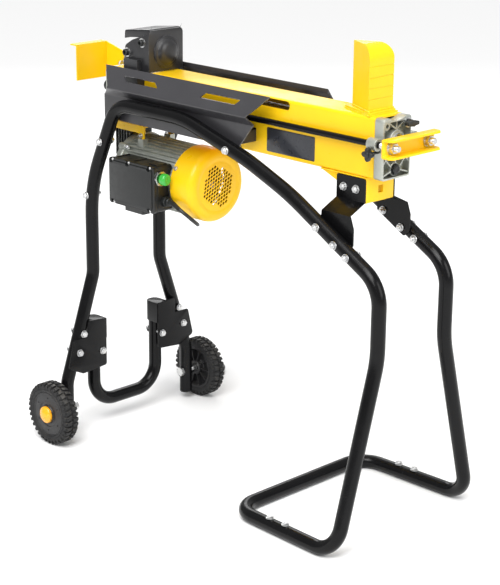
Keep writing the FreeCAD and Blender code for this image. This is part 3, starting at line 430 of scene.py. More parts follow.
def plate(outline, thickness, place, holes=(), edge=0.0004):
    """Flat plate with holes and softened edges. It lies from local z = 0 to its thickness."""
    curve = bpy.data.curves.new("outline", "CURVE")
    curve.dimensions = "2D"
    curve.fill_mode = "BOTH"
    curve.extrude = max(thickness / 2 - edge, 0.0)
    curve.bevel_depth = edge
    curve.bevel_resolution = 1
    curve.offset = -edge
    for points in (outline, *holes):
        spline = curve.splines.new("POLY")
        spline.points.add(len(points) - 1)
        for point, corner in zip(spline.points, points):
            point.co = (corner[0], corner[1], 0, 1)
        spline.use_cyclic_u = True
    drawn = bpy.data.objects.new("outline", curve)
    mesh = bpy.data.meshes.new_from_object(drawn)
    bpy.data.objects.remove(drawn)
    bpy.data.curves.remove(curve)
    bm = bmesh.new()
    bm.from_mesh(mesh)
    bpy.data.meshes.remove(mesh)
    bmesh.ops.remove_doubles(bm, verts=bm.verts, dist=0.00001)
    bmesh.ops.translate(bm, verts=bm.verts, vec=(0, 0, thickness / 2))
    bm.transform(place)
    return bm


def lathe(profile, place, count=64):
    """Solid turned round local z from an outline of radius and height."""
    bm = bmesh.new()
    rings = []
    for radius, height in profile:
        if radius < 1e-6:
            rings.append([bm.verts.new((0, 0, height))])
        else:
            rings.append([bm.verts.new((point.x, point.y, height))
                          for point in ring(radius, count=count)])
    for first, second in zip(rings, rings[1:] + rings[:1]):
        if len(first) == 1 and len(second) == 1:
            continue
        for part in range(count):
            corners = [first[part % len(first)], first[(part + 1) % len(first)],
                       second[(part + 1) % len(second)], second[part % len(second)]]
            unique = list(dict.fromkeys(corners))
            if len(unique) > 2:
                bm.faces.new(unique)
    bm.transform(place)
    return bm


def brick(low, high):
    """Box between two corners."""
    bm = bmesh.new()
    low, high = Vector(low), Vector(high)
    bmesh.ops.create_cube(bm, size=1.0)
    for vert in bm.verts:
        vert.co = Vector((low[axis] + (vert.co[axis] + 0.5) * (high[axis] - low[axis])
                          for axis in range(3)))
    return bm


def loft(sections, closed_ends=True, looped=False):
    """Skin over rings of the same number of points, one after another."""
    bm = bmesh.new()
    rings = [[bm.verts.new(point) for point in section] for section in sections]
    following = rings[1:] + rings[:1] if looped else rings[1:]
    for first, second in zip(rings, following):
        for part in range(len(first)):
            after = (part + 1) % len(first)
            bm.faces.new((first[part], first[after], second[after], second[part]))
    if closed_ends and not looped:
        bm.faces.new(rings[0])
        bm.faces.new(rings[-1])
    return bm


def merged(*parts):
    """One mesh from several closed shells."""
    whole = bmesh.new()
    for part in parts:
        mesh = bpy.data.meshes.new("part")
        part.to_mesh(mesh)
        part.free()
        whole.from_mesh(mesh)
        bpy.data.meshes.remove(mesh)
    return whole


def carved(base, *tools):
    """Base with the tools cut away."""
    stock = bpy.data.objects.new("stock", mesh_of(base))
    bpy.context.scene.collection.objects.link(stock)
    cutter = bpy.data.objects.new("cutter", mesh_of(merged(*tools)))
    bpy.context.scene.collection.objects.link(cutter)
    removal = stock.modifiers.new("removal", "BOOLEAN")
    removal.operation = "DIFFERENCE"
    removal.solver = "EXACT"
    removal.use_self = True
    removal.object = cutter
    bpy.context.view_layer.update()
    seen = stock.evaluated_get(bpy.context.evaluated_depsgraph_get())
    bm = bmesh.new()
    bm.from_mesh(bpy.data.meshes.new_from_object(seen))
    bpy.data.objects.remove(stock)
    bpy.data.objects.remove(cutter)
    return bm


def mirror(bm):
    """Copy of a mesh on the other side of the beam."""
    twin = bm.copy()
    for vert in twin.verts:
        vert.co.y = -vert.co.y
    bmesh.ops.reverse_faces(twin, faces=twin.faces)
    return twin


def both_sides(bm):
    """The mesh and its mirror copy on the other side of the beam."""
    return merged(mirror(bm), bm)


def hex_bolt(place, size=0.008, washer=True, shank=0.003):
    """Hexagonal head with chamfered corners on a washer. Local z points out of the surface."""
    parts = []
    base = 0.0
    if washer:
        profile = [(size * 0.55, 0), (size * 1.05, 0), (size * 1.08, 0.0004), (size * 1.05, 0.0013),
                   (size * 0.55, 0.0013)]
        parts.append(lathe(profile, place, 40))
        base = 0.0013
    height = size * 0.62
    across = size * 0.94
    levels = ((across * 0.93, base), (across, base + 0.0005), (across, base + height - 0.0008),
              (across * 0.9, base + height))
    sections = [[(point.x, point.y, z) for point in ring(radius, count=6)] for radius, z in levels]
    head = loft(sections)
    head.transform(place)
    parts.append(head)
    tip = lathe([(0, base + height - 0.0005), (size * 0.5, base + height - 0.0005),
                 (size * 0.5, base + height + shank - 0.0008), (size * 0.4, base + height + shank),
                 (0, base + height + shank)], place, 24)
    parts.append(tip)
    return merged(*parts)


def bead(line, radius, seed, lumps=0.35):
    """Weld bead along a line: a thin lumpy round strip."""
    chance = random.Random(seed)
    sections = []
    smooth = []
    for first, second in zip(line, line[1:]):
        first, second = Vector(first), Vector(second)
        count = max(1, round((second - first).length / (radius * 0.9)))
        smooth += [first.lerp(second, part / count) for part in range(count)]
    smooth.append(Vector(line[-1]))
    side = None
    for index, point in enumerate(smooth):
        along = (smooth[min(index + 1, len(smooth) - 1)] - smooth[max(index - 1, 0)]).normalized()
        if side is None:
            side = along.orthogonal().normalized()
        side = (side - along * side.dot(along)).normalized()
        other = along.cross(side)
        size = radius * (1 + lumps * (0.5 * (-1) ** index + chance.uniform(-0.4, 0.4)))
        sections.append([point + side * corner.x + other * corner.y for corner in ring(size, count=8)])
    return loft(sections)


def facing(origin, direction, up=(0, 0, 1)):
    """Placement whose local z runs along a direction and whose local y is close to up."""
    along = Vector(direction).normalized()
    side = Vector(up).cross(along)
    if side.length < 1e-4:
        side = Vector((0, 1, 0)).cross(along)
    return axes(origin, side, along.cross(side))


def islands(node):
    """Boxes of the separate solids of a CAD node, in a fixed order."""
    bm = bmesh.new()
    bm.from_mesh(frame["nodes"][node].data)
    bmesh.ops.remove_doubles(bm, verts=bm.verts, dist=1e-6)
    boxes = []
    left = set(bm.verts)
    while left:
        stack = [left.pop()]
        low, high = stack[0].co.copy(), stack[0].co.copy()
        while stack:
            vert = stack.pop()
            for axis in range(3):
                low[axis] = min(low[axis], vert.co[axis])
                high[axis] = max(high[axis], vert.co[axis])
            for edge in vert.link_edges:
                other = edge.other_vert(vert)
                if other in left:
                    left.remove(other)
                    stack.append(other)
        boxes.append((low, high))
    bm.free()
    return sorted(boxes, key=lambda box: tuple(round(value, 4) for value in box[0]))


# --- stand ----------------------------------------------------------------------

BOLT = 0.008
HEAD_HEIGHT = 0.65 * BOLT
NUT_REACH = 1.3 * BOLT


def make_bolts():
    """Zinc bolts of the stand: a washer and head outside, a washer, nut and thread tip inside."""
    parts = []
    for low, high in islands("stand_fasteners"):
        size = high - low
        axis = max(range(3), key=lambda index: size[index])
        middle = (low + high) / 2
        outward = Vector((0, 0, 0))
        outward[axis] = math.copysign(1, middle.y) if axis == 1 else 1
        reach = size[axis] / 2
        head = middle + outward * (reach - HEAD_HEIGHT)
        parts.append(hex_bolt(facing(head, outward), BOLT, True, 0.0012))
        has_nut = axis != 2
        nut = middle - outward * (reach - NUT_REACH) if has_nut else None
        if has_nut:
            parts.append(hex_bolt(facing(nut, -outward), BOLT, True, 0.004))
        end = nut if has_nut else middle - outward * reach
        length = (head - end).length
        shank = [(0, 0), (BOLT / 2, 0), (BOLT / 2, length), (0, length)]
        parts.append(lathe(shank, facing(end, outward), 20))
    put("stand_bolts", parts, "frame", "zinc_steel", ("stand_fasteners",), sharp=30)


def make_tube_plugs():
    """Pressed-in plastic plugs at the lower ends of the two side tubes and the tops of the hoop."""
    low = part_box("side_tube_left")[0]
    wheel = low_high("axles")[2]
    tube = 0.015
    parts = []
    for side in (LEFT, RIGHT):
        end = Vector((wheel.x - 0.0028, side * 0.1847, low.z))
        dome = [(0, 0.010), (tube - 0.0018, 0.010), (tube - 0.0018, 0), (tube, 0),
                (tube - 0.0008, -0.0020), (tube * 0.55, -0.0042), (0, -0.0048)]
        parts.append(lathe(dome, facing(end, (0, 0, 1)), 40))
    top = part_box("rear_hoop")[1]
    for side in (LEFT, RIGHT):
        end = Vector((top.x - tube, side * (top.y - tube), top.z))
        dome = [(0, -0.010), (tube - 0.0018, -0.010), (tube - 0.0018, 0), (tube, 0),
                (tube - 0.0008, 0.0014), (0, 0.0022)]
        parts.append(lathe(dome, facing(end, (0, 0, 1)), 40))
    put("tube_plugs", parts, "frame", "black_plastic")


# --- wheels -----------------------------------------------------------------------

LUGS = 34
LUG_WIDTH = 0.0088
LUG_LEAN = 0.018
SHOULDER_WIDTH = 0.0072
TREAD_DEPTH = 0.0045
RIM_RADIUS = 0.052
SPOKES = 10
PIPS = 6


def tread_lug(radius, middle, width, span, lean, base, top):
    """One chamfered tread block at a middle angle, between two heights across the tyre."""
    sections = []
    for reach, shrink in ((base, 1.0), (base + (top - base) * 0.75, 0.94), (top, 0.78)):
        corners = []
        for across, along in ((-1, -1), (1, -1), (1, 1), (-1, 1)):
            angle = middle + across * width / 2 * shrink / radius + along * lean
            height = span[0] + (span[1] - span[0]) * (0.5 + 0.5 * along * shrink)
            corners.append((reach * math.cos(angle), reach * math.sin(angle), height))
        sections.append(corners)
    return loft(sections)


def make_tyre(word, place, radius, width):
    """Tyre with a staggered block tread and small blocks on its shoulders."""
    rim = RIM_RADIUS
    tread = radius - TREAD_DEPTH
    carcass = [(rim + 0.0003, 0.0025), (rim + 0.003, 0.0008), (rim + 0.0055, 0.0003),
               (tread - 0.009, 0.0003), (tread - 0.004, 0.002), (tread - 0.001, 0.0055), (tread, 0.010),
               (tread, width - 0.010), (tread - 0.001, width - 0.0055), (tread - 0.004, width - 0.002),
               (tread - 0.007, width - 0.0004), (rim + 0.0085, width), (rim + 0.0078, width - 0.0012),
               (rim + 0.0068, width - 0.0012), (rim + 0.006, width), (rim + 0.0035, width - 0.0004),
               (rim + 0.0003, width - 0.002)]
    parts = [lathe(carcass, Matrix(), 102)]
    step = 2 * math.pi / LUGS
    lug_base, lug_top = tread - 0.004, radius - 0.0002
    for lug in range(LUGS):
        parts.append(tread_lug(radius, lug * step, LUG_WIDTH, (0.0035, width * 0.47), LUG_LEAN, lug_base,
                               lug_top))
        parts.append(tread_lug(radius, (lug + 0.5) * step, LUG_WIDTH, (width * 0.53, width - 0.0035),
                               -LUG_LEAN, lug_base, lug_top))
        for along, heights in ((0, (0.0006, 0.0060)), (0.5, (width - 0.0060, width - 0.0006))):
            parts.append(tread_lug(radius, (lug + along) * step, SHOULDER_WIDTH, heights, 0.0,
                                   tread - 0.010, tread + 0.0012))
    tyre = merged(*parts)
    tyre.transform(place)
    put("tyre_tread_" + word, tyre, "wheel_" + word, "tyre_rubber", ("tyre_" + word,), sharp=26)


def make_rim(word, place, width):
    """Rim disc with spokes on its inner side and six small pips outside."""
    rim = RIM_RADIUS
    hub = 0.0062
    disc = [(hub, 0.0005), (0.016, 0.0005), (0.0175, 0.002), (0.019, 0.0120), (0.022, 0.0140),
            (0.041, 0.0140), (0.044, 0.0125), (0.0465, 0.0035), (0.0485, 0.0015), (rim, 0.0020),
            (rim, width - 0.0022), (0.0508, width - 0.0012), (0.0490, width - 0.0026),
            (0.0480, width - 0.0034), (0.0300, width - 0.0024), (0.0285, width - 0.0036),
            (0.0225, width - 0.0034), (0.0210, width - 0.0004), (hub, width - 0.0004)]
    ribs = []
    for rib in range(SPOKES):
        blade = brick((0.0165, -0.0009, 0.0035), (0.0465, 0.0009, 0.0145))
        blade.transform(Matrix.Rotation(2 * math.pi * rib / SPOKES, 4, "Z"))
        ribs.append(blade)
    pips = []
    for pip in range(PIPS):
        stud = lathe([(0, width - 0.0045), (0.0019, width - 0.0045), (0.0016, width - 0.0016),
                      (0, width - 0.0013)], Matrix(), 16)
        stud.transform(
            Matrix.Rotation(2 * math.pi * (pip + 0.5) / PIPS, 4, "Z") @ Matrix.Translation((0.039, 0, 0)))
        pips.append(stud)
    wheel = merged(lathe(disc, Matrix(), 96), *ribs, *pips)
    wheel.transform(place)
    put("rim_disc_" + word, wheel, "wheel_" + word, "rim_plastic", ("rim_" + word,), sharp=30)


def make_hub_cap(side, word):
    """Domed cap pressed into the middle of the wheel."""
    low, high, middle = low_high("hub_cap_" + word)
    cap = (high.x - low.x) / 2
    place = facing((middle.x, side * min(abs(low.y), abs(high.y)), middle.z), (0, side, 0))
    dome = [(cap - 0.0025, 0.0001), (cap, 0.0001), (cap, 0.0035), (cap - 0.0006, 0.0052),
            (cap - 0.0018, 0.0062), (cap - 0.0032, 0.0066), (cap - 0.0050, 0.0078),
            (cap - 0.0085, 0.0100), (cap - 0.0125, 0.0114), (0.0035, 0.0122), (0, 0.0123), (0, 0.0060),
            (cap - 0.0025, 0.0050)]
    notch = brick((cap - 0.003, -0.0028, 0.0005), (cap + 0.0016, 0.0028, 0.0048))
    notch.transform(place @ Matrix.Rotation(math.radians(38), 4, "Z"))
    put("wheel_cap_" + word, [lathe(dome, place, 64), notch], "wheel_" + word, "hub_plastic",
        ("hub_cap_" + word,), sharp=40)


def make_wheel(side, word):
    """One wheel: its tyre, rim and hub cap."""
    low, high, middle = low_high("tyre_" + word)
    width = high.y - low.y
    inner = Vector((middle.x, side * min(abs(low.y), abs(high.y)), middle.z))
    place = facing(inner, (0, side, 0))
    make_tyre(word, place, (high.x - low.x) / 2, width)
    make_rim(word, place, width)
    make_hub_cap(side, word)


# --- beam, wedge and guards ---------------------------------------------------------


def side_plate(points, low_y, high_y, holes=(), edge=0.0004):
    """Plate drawn in the XZ plane that lies between two heights along Y."""
    place = axes((0, high_y, 0), (1, 0, 0), (0, 0, 1))
    return plate(rounded(points), high_y - low_y, place, holes, edge)


def end_plate(points, low_x, high_x, holes=(), edge=0.0004):
    """Plate drawn in the YZ plane that lies between two places along X."""
    place = axes((low_x, 0, 0), (0, 1, 0), (0, 0, 1))
    return plate(rounded(points), high_x - low_x, place, holes, edge)


def flat_plate(points, low_z, high_z, holes=(), edge=0.0004):
    """Plate drawn in the XY plane that lies between two heights."""
    return plate(rounded(points), high_z - low_z, Matrix.Translation((0, 0, low_z)), holes, edge)


BEAM_WALL = 0.004
SLOT_FLANGE = 0.0028
SLOT_WIDTH = 0.017
SLOT_START = 0.014
SLOT_SPARE = 0.0687
SLOT_CORNER = 0.0084


def make_beam():
    """Square beam with a long slot through both side walls."""
    low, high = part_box("beam_shell")
    half = high.y
    corner = 0.006
    section = oblong((-half, low.z), (half, high.z), corner)
    wall = BEAM_WALL
    hollow = oblong((-half + wall, low.z + wall), (half - wall, high.z - wall), 0.003)
    shell = end_plate(section, low.x, high.x, [rounded(hollow)], 0.0006)
    slot_top = high.z - SLOT_FLANGE
    slot_low = high.z - wall - SLOT_WIDTH
    arm_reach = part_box("ram_arms")[1].x + frame_range("ram_stroke")
    slot = oblong((low.x + SLOT_START, slot_low), (arm_reach + SLOT_SPARE, slot_top), SLOT_CORNER)
    shell = carved(shell, side_plate(slot, -half - 0.01, half + 0.01))
    put("beam_tube", shell, "frame", "yellow_paint", ("beam_shell",), bevel=0.0005)


def frame_range(joint):
    """Farthest travel of a joint."""
    return next(entry for entry in frame["joints"] if entry["name"] == joint)["range_m"][1]


def make_beam_foot():
    """Folded box under the front of the beam, welded along both sides."""
    low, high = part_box("beam_foot")
    half = high.y
    outline = [(low.x, high.z), (high.x, high.z), (high.x, low.z, 0.003), (0.340, low.z, 0.008),
               (0.325, 0.714, 0.012)]
    solid = side_plate(outline, -half, half, (), 0.0016)
    inner = [(0.284, 0.740), (0.393, 0.740), (0.393, 0.670), (0.343, 0.670), (0.329, 0.717)]
    window = end_plate(oblong((-0.005, 0.698), (0.009, 0.713), 0.002), 0.385, 0.41)
    carving = carved(solid, side_plate(inner, -half + 0.003, half - 0.003), window)
    put("beam_foot_box", carving, "frame", "yellow_paint", ("beam_foot",), bevel=0.0004)
    parts = []
    for side in (LEFT, RIGHT):
        y = side * (half + 0.0003)
        parts.append(bead([(low.x + 0.004, y, high.z), (high.x - 0.004, y, high.z)], 0.0016, 7))
    put("foot_weld", parts, "frame", "yellow_paint", material="yellow_paint", sharp=60)


def make_wedge():
    """Splitting wedge with ground marks across its back, on a welded pad."""
    low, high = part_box("wedge")
    base = low.z
    tip, back, top = low.x + 0.012, high.x - 0.007, high.z
    half = 0.036
    outline = rounded([(tip, base + 0.0055), (back, base + 0.0055), (back, top, 0.030),
                       (tip, top, 0.002)], 8)

    def reach(x):
        """Half thickness of the wedge at a place along X."""
        return 0.0006 + (x - tip) / (back - tip) * (half - 0.0006)

    bm = bmesh.new()
    left = [bm.verts.new((point.x, -reach(point.x), point.y)) for point in outline]
    right = [bm.verts.new((point.x, reach(point.x), point.y)) for point in outline]
    bm.faces.new(left)
    bm.faces.new(right[::-1])
    for index in range(len(outline)):
        after = (index + 1) % len(outline)
        bm.faces.new((left[index], left[after], right[after], right[index]))
    bmesh.ops.recalc_face_normals(bm, faces=bm.faces)
    marks = []
    for mark, drop in enumerate((0.020, 0.041, 0.062, 0.083, 0.104)):
        slant = 0.0012 * (-1) ** mark
        groove = brick((back - 0.0007, -half - 0.01, -0.0007), (back + 0.01, half + 0.01, 0.0007))
        groove.transform(Matrix.Translation((0, 0, top - drop)) @ Matrix.Rotation(slant * 12, 4, "X"))
        marks.append(groove)
    put("wedge_blade", carved(bm, *marks), "frame", "yellow_paint", ("wedge",), bevel=0.0007)
    pad = flat_plate([(low.x, -0.009, 0.003), (high.x, -half - 0.004, 0.004),
                      (high.x, half + 0.004, 0.004), (low.x, 0.009, 0.003)], base, base + 0.006, (),
                     0.0008)
    put("wedge_pad", pad, "frame", "yellow_paint")
    z = base + 0.0072
    run = [(tip + 0.006, -reach(tip + 0.006) - 0.0006, z), (back + 0.0004, -half - 0.0004, z),
           (back + 0.0004, half + 0.0004, z), (tip + 0.006, reach(tip + 0.006) + 0.0006, z)]
    parts = [bead(run, 0.0024, 3)]
    z = base + 0.0004
    run = [(low.x + 0.004, -0.0115, z), (high.x + 0.0006, -half - 0.0046, z),
           (high.x + 0.0006, half + 0.0046, z), (low.x + 0.004, 0.0115, z)]
    parts.append(bead(run, 0.0017, 5))
    put("wedge_welds", parts, "frame", "yellow_paint", material="yellow_paint", sharp=60)


def make_guards():
    """Folded sheet guards. The left one has slanted ends and two leaning windows, the right one is plain."""
    low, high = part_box("log_guards")
    rear, far_front = low.x, high.x
    front = far_front - 0.010
    sheet = 0.003
    fold = [(-0.075, 0.853, 0.0008), (-0.075, 0.8653, 0.0008), (-0.1078, 0.8203, 0.004),
            (-0.0856, 0.8006, 0.005), (-0.0856, 0.747, 0.0008)]
    inner = [(-0.075 - sheet, 0.853, 0.0006), (-0.075 - sheet, 0.856, 0.001), (-0.1038, 0.8206, 0.0015),
             (-0.0826, 0.8022, 0.0025), (-0.0826, 0.747, 0.0006)]
    trim = 0.047
    rear_cut = [(rear - 0.02, 0.870), (rear, 0.870), (rear + trim, 0.8204, 0.006), (rear + 0.010, 0.800),
                (rear + 0.010, 0.735), (rear - 0.02, 0.735)]
    front_cut = [(far_front + 0.02, 0.870), (front, 0.870), (front - trim, 0.8204, 0.006),
                 (front - 0.045, 0.800), (front - 0.095, 0.740), (front - 0.095, 0.735),
                 (far_front + 0.02, 0.735)]
    far_cut = [(far_front + 0.02, 0.870), (far_front, 0.870), (far_front, 0.830),
               (far_front - 0.020, 0.800), (far_front - 0.060, 0.740), (far_front - 0.060, 0.735),
               (far_front + 0.02, 0.735)]
    windows = []
    for x, lean in ((-0.2105, -0.009), (0.0385, 0.006)):
        window = [(x - 0.052 + lean, 0.849, 0.0015), (x + 0.052 + lean, 0.849, 0.0015),
                  (x + 0.052 - lean, 0.838, 0.0015), (x - 0.052 - lean, 0.838, 0.0015)]
        windows.append(side_plate(window, -0.112, -0.070))

    def trimmed(cuts, openings=()):
        """Folded sheet cut to its outline seen from the side."""
        sheet_solid = end_plate(fold + inner[::-1], rear, far_front)
        return carved(sheet_solid, *[side_plate(points, -0.13, -0.06) for points in cuts], *openings)

    near = trimmed((rear_cut, front_cut), windows)
    far = mirror(trimmed((rear_cut, far_cut)))
    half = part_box("beam_shell")[1].y
    tabs = []
    for x in (-0.335, 0.0702):
        tabs.append(brick((x, -0.083, 0.757), (x + 0.0035, -half - 0.0001, 0.785)))
        tabs.append(brick((x + 0.0215, -0.083, 0.757), (x + 0.025, -half - 0.0001, 0.785)))
        tabs.append(brick((x, -0.083, 0.7815), (x + 0.025, -half - 0.0001, 0.785)))
    put("guard_panels", [near, far, both_sides(merged(*tabs))], "frame", "grey_paint", ("log_guards",),
        bevel=0.0003)


# --- hydraulics ------------------------------------------------------------------------


def hexagon_nut(place, across, height):
    """Hexagonal nut with chamfered corners."""
    levels = ((across * 0.92, 0), (across, height * 0.1), (across, height * 0.9), (across * 0.92, height))
    bm = loft([[(point.x, point.y, z) for point in ring(radius, count=6)] for radius, z in levels])
    bm.transform(place)
    return bm


def make_end_cover():
    """Ribbed die-cast cover at the front of the beam, with the rod boss and the bosses of its tie bolts."""
    low, high, middle = low_high("end_cover")
    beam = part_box("beam_shell")[1]
    half, base_x, depth = beam.y, low.x, high.x - low.x
    bottom, top = low.z, high.z
    ram_z = low_high("piston_rod")[2].z
    rod_y = low_high("side_rods")[1].y - 0.0065
    outline = [(-half, bottom, 0.006), (half, bottom, 0.006), (half, top, 0.008), (-half, top, 0.008)]
    body = end_plate(outline, base_x, base_x + depth, (), 0.0012)
    pocket = [(-half + 0.0038, bottom + 0.0038, 0.004), (half - 0.0038, bottom + 0.0038, 0.004),
              (half - 0.0038, top - 0.009, 0.004), (-half + 0.0038, top - 0.009, 0.004)]
    body = carved(body, end_plate(pocket, base_x + 0.006, base_x + depth + 0.01))
    front = base_x + depth
    parts = [body]
    boss = [(0.0155, 0.004), (0.0235, 0.004), (0.0225, depth - 0.001), (0.0215, depth), (0.0155, depth)]
    parts.append(lathe(boss, facing((base_x, 0, ram_z), (1, 0, 0)), 56))
    for side in (LEFT, RIGHT):
        corner = [(0.0042, 0.004), (0.0098, 0.004), (0.0090, depth - 0.0012), (0.0080, depth),
                  (0.0042, depth), (0.0042, depth - 0.006)]
        parts.append(lathe(corner, facing((base_x, side * 0.030, 0.840), (1, 0, 0)), 36))
        eye = [(0.0072, 0), (0.0125, 0), (0.0125, depth - 0.001), (0.0115, depth), (0.0072, depth)]
        parts.append(lathe(eye, facing((base_x, side * rod_y, ram_z), (1, 0, 0)), 44))
        web = brick((base_x, min(side * (half - 0.002), side * (rod_y - 0.0085)), ram_z - 0.0095),
                    (front - 0.0006, max(side * (half - 0.002), side * (rod_y - 0.0085)), ram_z + 0.0095))
        parts.append(web)
    drain_z = low_high("drain_plug")[2].z
    drain = [(0.0095, 0.004), (0.0142, 0.004), (0.0135, depth - 0.005), (0.0128, depth - 0.004),
             (0.0095, depth - 0.004)]
    parts.append(lathe(drain, facing((base_x, 0, drain_z), (1, 0, 0)), 44))

    def rib(first, second, thick=0.0013):
        """Thin rib between two (y, z) places on the cover."""
        first, second = Vector((0, *first)), Vector((0, *second))
        along = second - first
        blade = brick((0, 0, -thick), (depth - 0.0065, along.length, thick))
        side = Vector((1, 0, 0)).cross(along.normalized())
        turn = Matrix((Vector((1, 0, 0)), along.normalized(), side)).transposed().to_4x4()
        blade.transform(Matrix.Translation((base_x + 0.0045, first.y, first.z)) @ turn)
        return blade

    edge = half - 0.003
    spans = [((0, ram_z + 0.023), (-0.022, top - 0.010)), ((0, ram_z + 0.023), (0.022, top - 0.010)),
             ((0, ram_z + 0.021), (0, top - 0.010)), ((-0.015, ram_z - 0.017), (-edge, 0.762)),
             ((0.015, ram_z - 0.017), (edge, 0.762)), ((-0.013, drain_z + 0.006), (-edge, 0.782)),
             ((0.013, drain_z + 0.006), (edge, 0.782)), ((0, drain_z + 0.0135), (0, ram_z - 0.0225)),
             ((-0.0225, ram_z), (-edge, ram_z)), ((0.0225, ram_z), (edge, ram_z)),
             ((-0.013, drain_z - 0.002), (-edge, drain_z - 0.010)),
             ((0.013, drain_z - 0.002), (edge, drain_z - 0.010))]
    parts += [rib(first, second) for first, second in spans]
    whole = merged(*parts)
    saddle = lathe([(0, -0.01), (0.049, -0.01), (0.049, 0.05), (0, 0.05)],
                   facing((base_x, 0, 0.897), (1, 0, 0)), 96)
    bore = lathe([(0, -0.01), (0.0127, -0.01), (0.0127, 0.05), (0, 0.05)],
                 facing((base_x, 0, ram_z), (1, 0, 0)), 48)
    put("cover_casting", carved(whole, saddle, bore), "frame", "cast_aluminium", ("end_cover",),
        bevel=0.0003)
    place = facing((base_x + 0.001, 0, ram_z), (1, 0, 0))
    gland = [(0.0112, 0), (0.0155, 0), (0.0155, depth + 0.0012), (0.0148, depth + 0.0018),
             (0.0122, depth + 0.0018), (0.0112, depth + 0.0006)]
    put("gland_ring", lathe(gland, place, 56), "frame", "chrome_rod", ("rod_gland",), sharp=30)
    low, high, middle = low_high("drain_plug")
    plug = facing((high.x - 0.006, 0, middle.z), (1, 0, 0))
    skirt = [(0, -0.012), (0.0088, -0.012), (0.0088, 0), (0.0118, 0.0002), (0.0118, 0.0012), (0, 0.0012)]
    socket = lathe([(0.0042, 0.0008), (0.0072, 0.0008), (0.0072, 0.0059), (0.0066, 0.0064),
                    (0.0046, 0.0064), (0.0042, 0.0058)], plug, 32)
    put("drain_screw", [lathe(skirt, plug, 40), hexagon_nut(plug, 0.0104, 0.0056), socket], "frame",
        "black_plastic", ("drain_plug",), sharp=30)


def make_yoke():
    """Channel that the piston rod pushes and that pulls the two side rods."""
    low, high, middle = low_high("yoke")
    half = high.y
    wall, thin = 0.005, 0.0045
    c_shape = [(low.x, low.z, 0.004), (high.x, low.z, 0.001), (high.x, low.z + thin, 0.001),
               (low.x + wall, low.z + thin, 0.0025), (low.x + wall, high.z - thin, 0.0025),
               (high.x, high.z - thin, 0.001), (high.x, high.z, 0.001), (low.x, high.z, 0.004)]
    bar = side_plate(c_shape, -half, half, (), 0.0005)
    clip = 0.012
    tools = []
    for side in (LEFT, RIGHT):
        for z in (low.z - 0.002, high.z - 0.006):
            corner = [(high.x - clip, side * (half + 0.002)), (high.x + 0.004, side * (half + 0.002)),
                      (high.x + 0.004, side * (half - clip))]
            tools.append(flat_plate(corner, z, z + 0.008, (), 0.0))
    put("yoke_channel", carved(bar, *tools), "ram", "yellow_paint", ("yoke",), bevel=0.0005)
    rod_low, rod_high, rod_middle = low_high("side_rods")
    rod_r = 0.0065
    rod_y = rod_high.y - rod_r
    z = rod_middle.z
    parts, rods = [], []
    for side in (LEFT, RIGHT):
        y = side * rod_y
        washer = [(0.0067, 0), (0.0128, 0), (0.0131, 0.0004), (0.0128, 0.0018), (0.0067, 0.0018)]
        for start, way in ((low.x + wall + 0.0002, 1), (low.x - 0.0002, -1)):
            parts.append(lathe(washer, facing((start, y, z), (way, 0, 0)), 48))
            spring = [(0.0068, 0), (0.0104, 0), (0.0106, 0.0008), (0.0104, 0.0022), (0.0068, 0.0022)]
            parts.append(lathe(spring, facing((start + way * 0.0018, y, z), (way, 0, 0)), 40))
            parts.append(hexagon_nut(facing((start + way * 0.0040, y, z), (way, 0, 0)), 0.0112,
                                     0.0078 if way > 0 else 0.0054))
        length = rod_high.x - rod_low.x
        bare = length - 0.046
        plain = [(0, 0), (rod_r - 0.001, 0), (rod_r, 0.001), (rod_r, bare), (0, bare)]
        rods.append(lathe(plain, facing((rod_low.x, y, z), (1, 0, 0)), 36))
        profile = [(0, bare - 0.001), (rod_r - 0.0003, bare - 0.001), (rod_r - 0.0003, bare + 0.001)]
        for turn in range(22):
            start = bare + 0.001 + turn * 0.002
            profile += [(rod_r - 0.0007, start + 0.0008), (rod_r, start + 0.0016)]
        profile += [(rod_r - 0.0012, length), (0, length)]
        parts.append(lathe(profile, facing((rod_low.x, y, z), (1, 0, 0)), 36))
    put("yoke_fasteners", parts, "ram", "zinc_steel", ("yoke_nuts",), sharp=30)
    put("pull_rods", rods, "ram", "black_paint", ("side_rods",), sharp=40)
    low, high, middle = low_high("piston_rod")
    radius = high.y
    length = high.x - low.x
    profile = [(0, 0), (radius, 0), (radius, length - 0.0005), (0, length)]
    put("chromed_rod", lathe(profile, facing((low.x, 0, middle.z), (1, 0, 0)), 64), "ram", "chrome_rod",
        ("piston_rod",))


def wing_knob(place, reach, thick, lobes=4):
    """Wing knob with rounded lobes, thicker at its middle."""
    count = 96
    sections = []
    for level, size in ((0.0, 0.90), (0.12, 0.98), (0.5, 1.0), (0.88, 0.98), (1.0, 0.90)):
        section = []
        for part in range(count):
            angle = 2 * math.pi * part / count
            wave = 0.5 + 0.5 * math.cos(lobes * angle)
            radius = reach * (0.58 + 0.42 * wave ** 0.7) * size
            section.append((radius * math.cos(angle), radius * math.sin(angle), level * thick))
        sections.append(section)
    bm = loft(sections)
    bm.transform(place)
    return bm


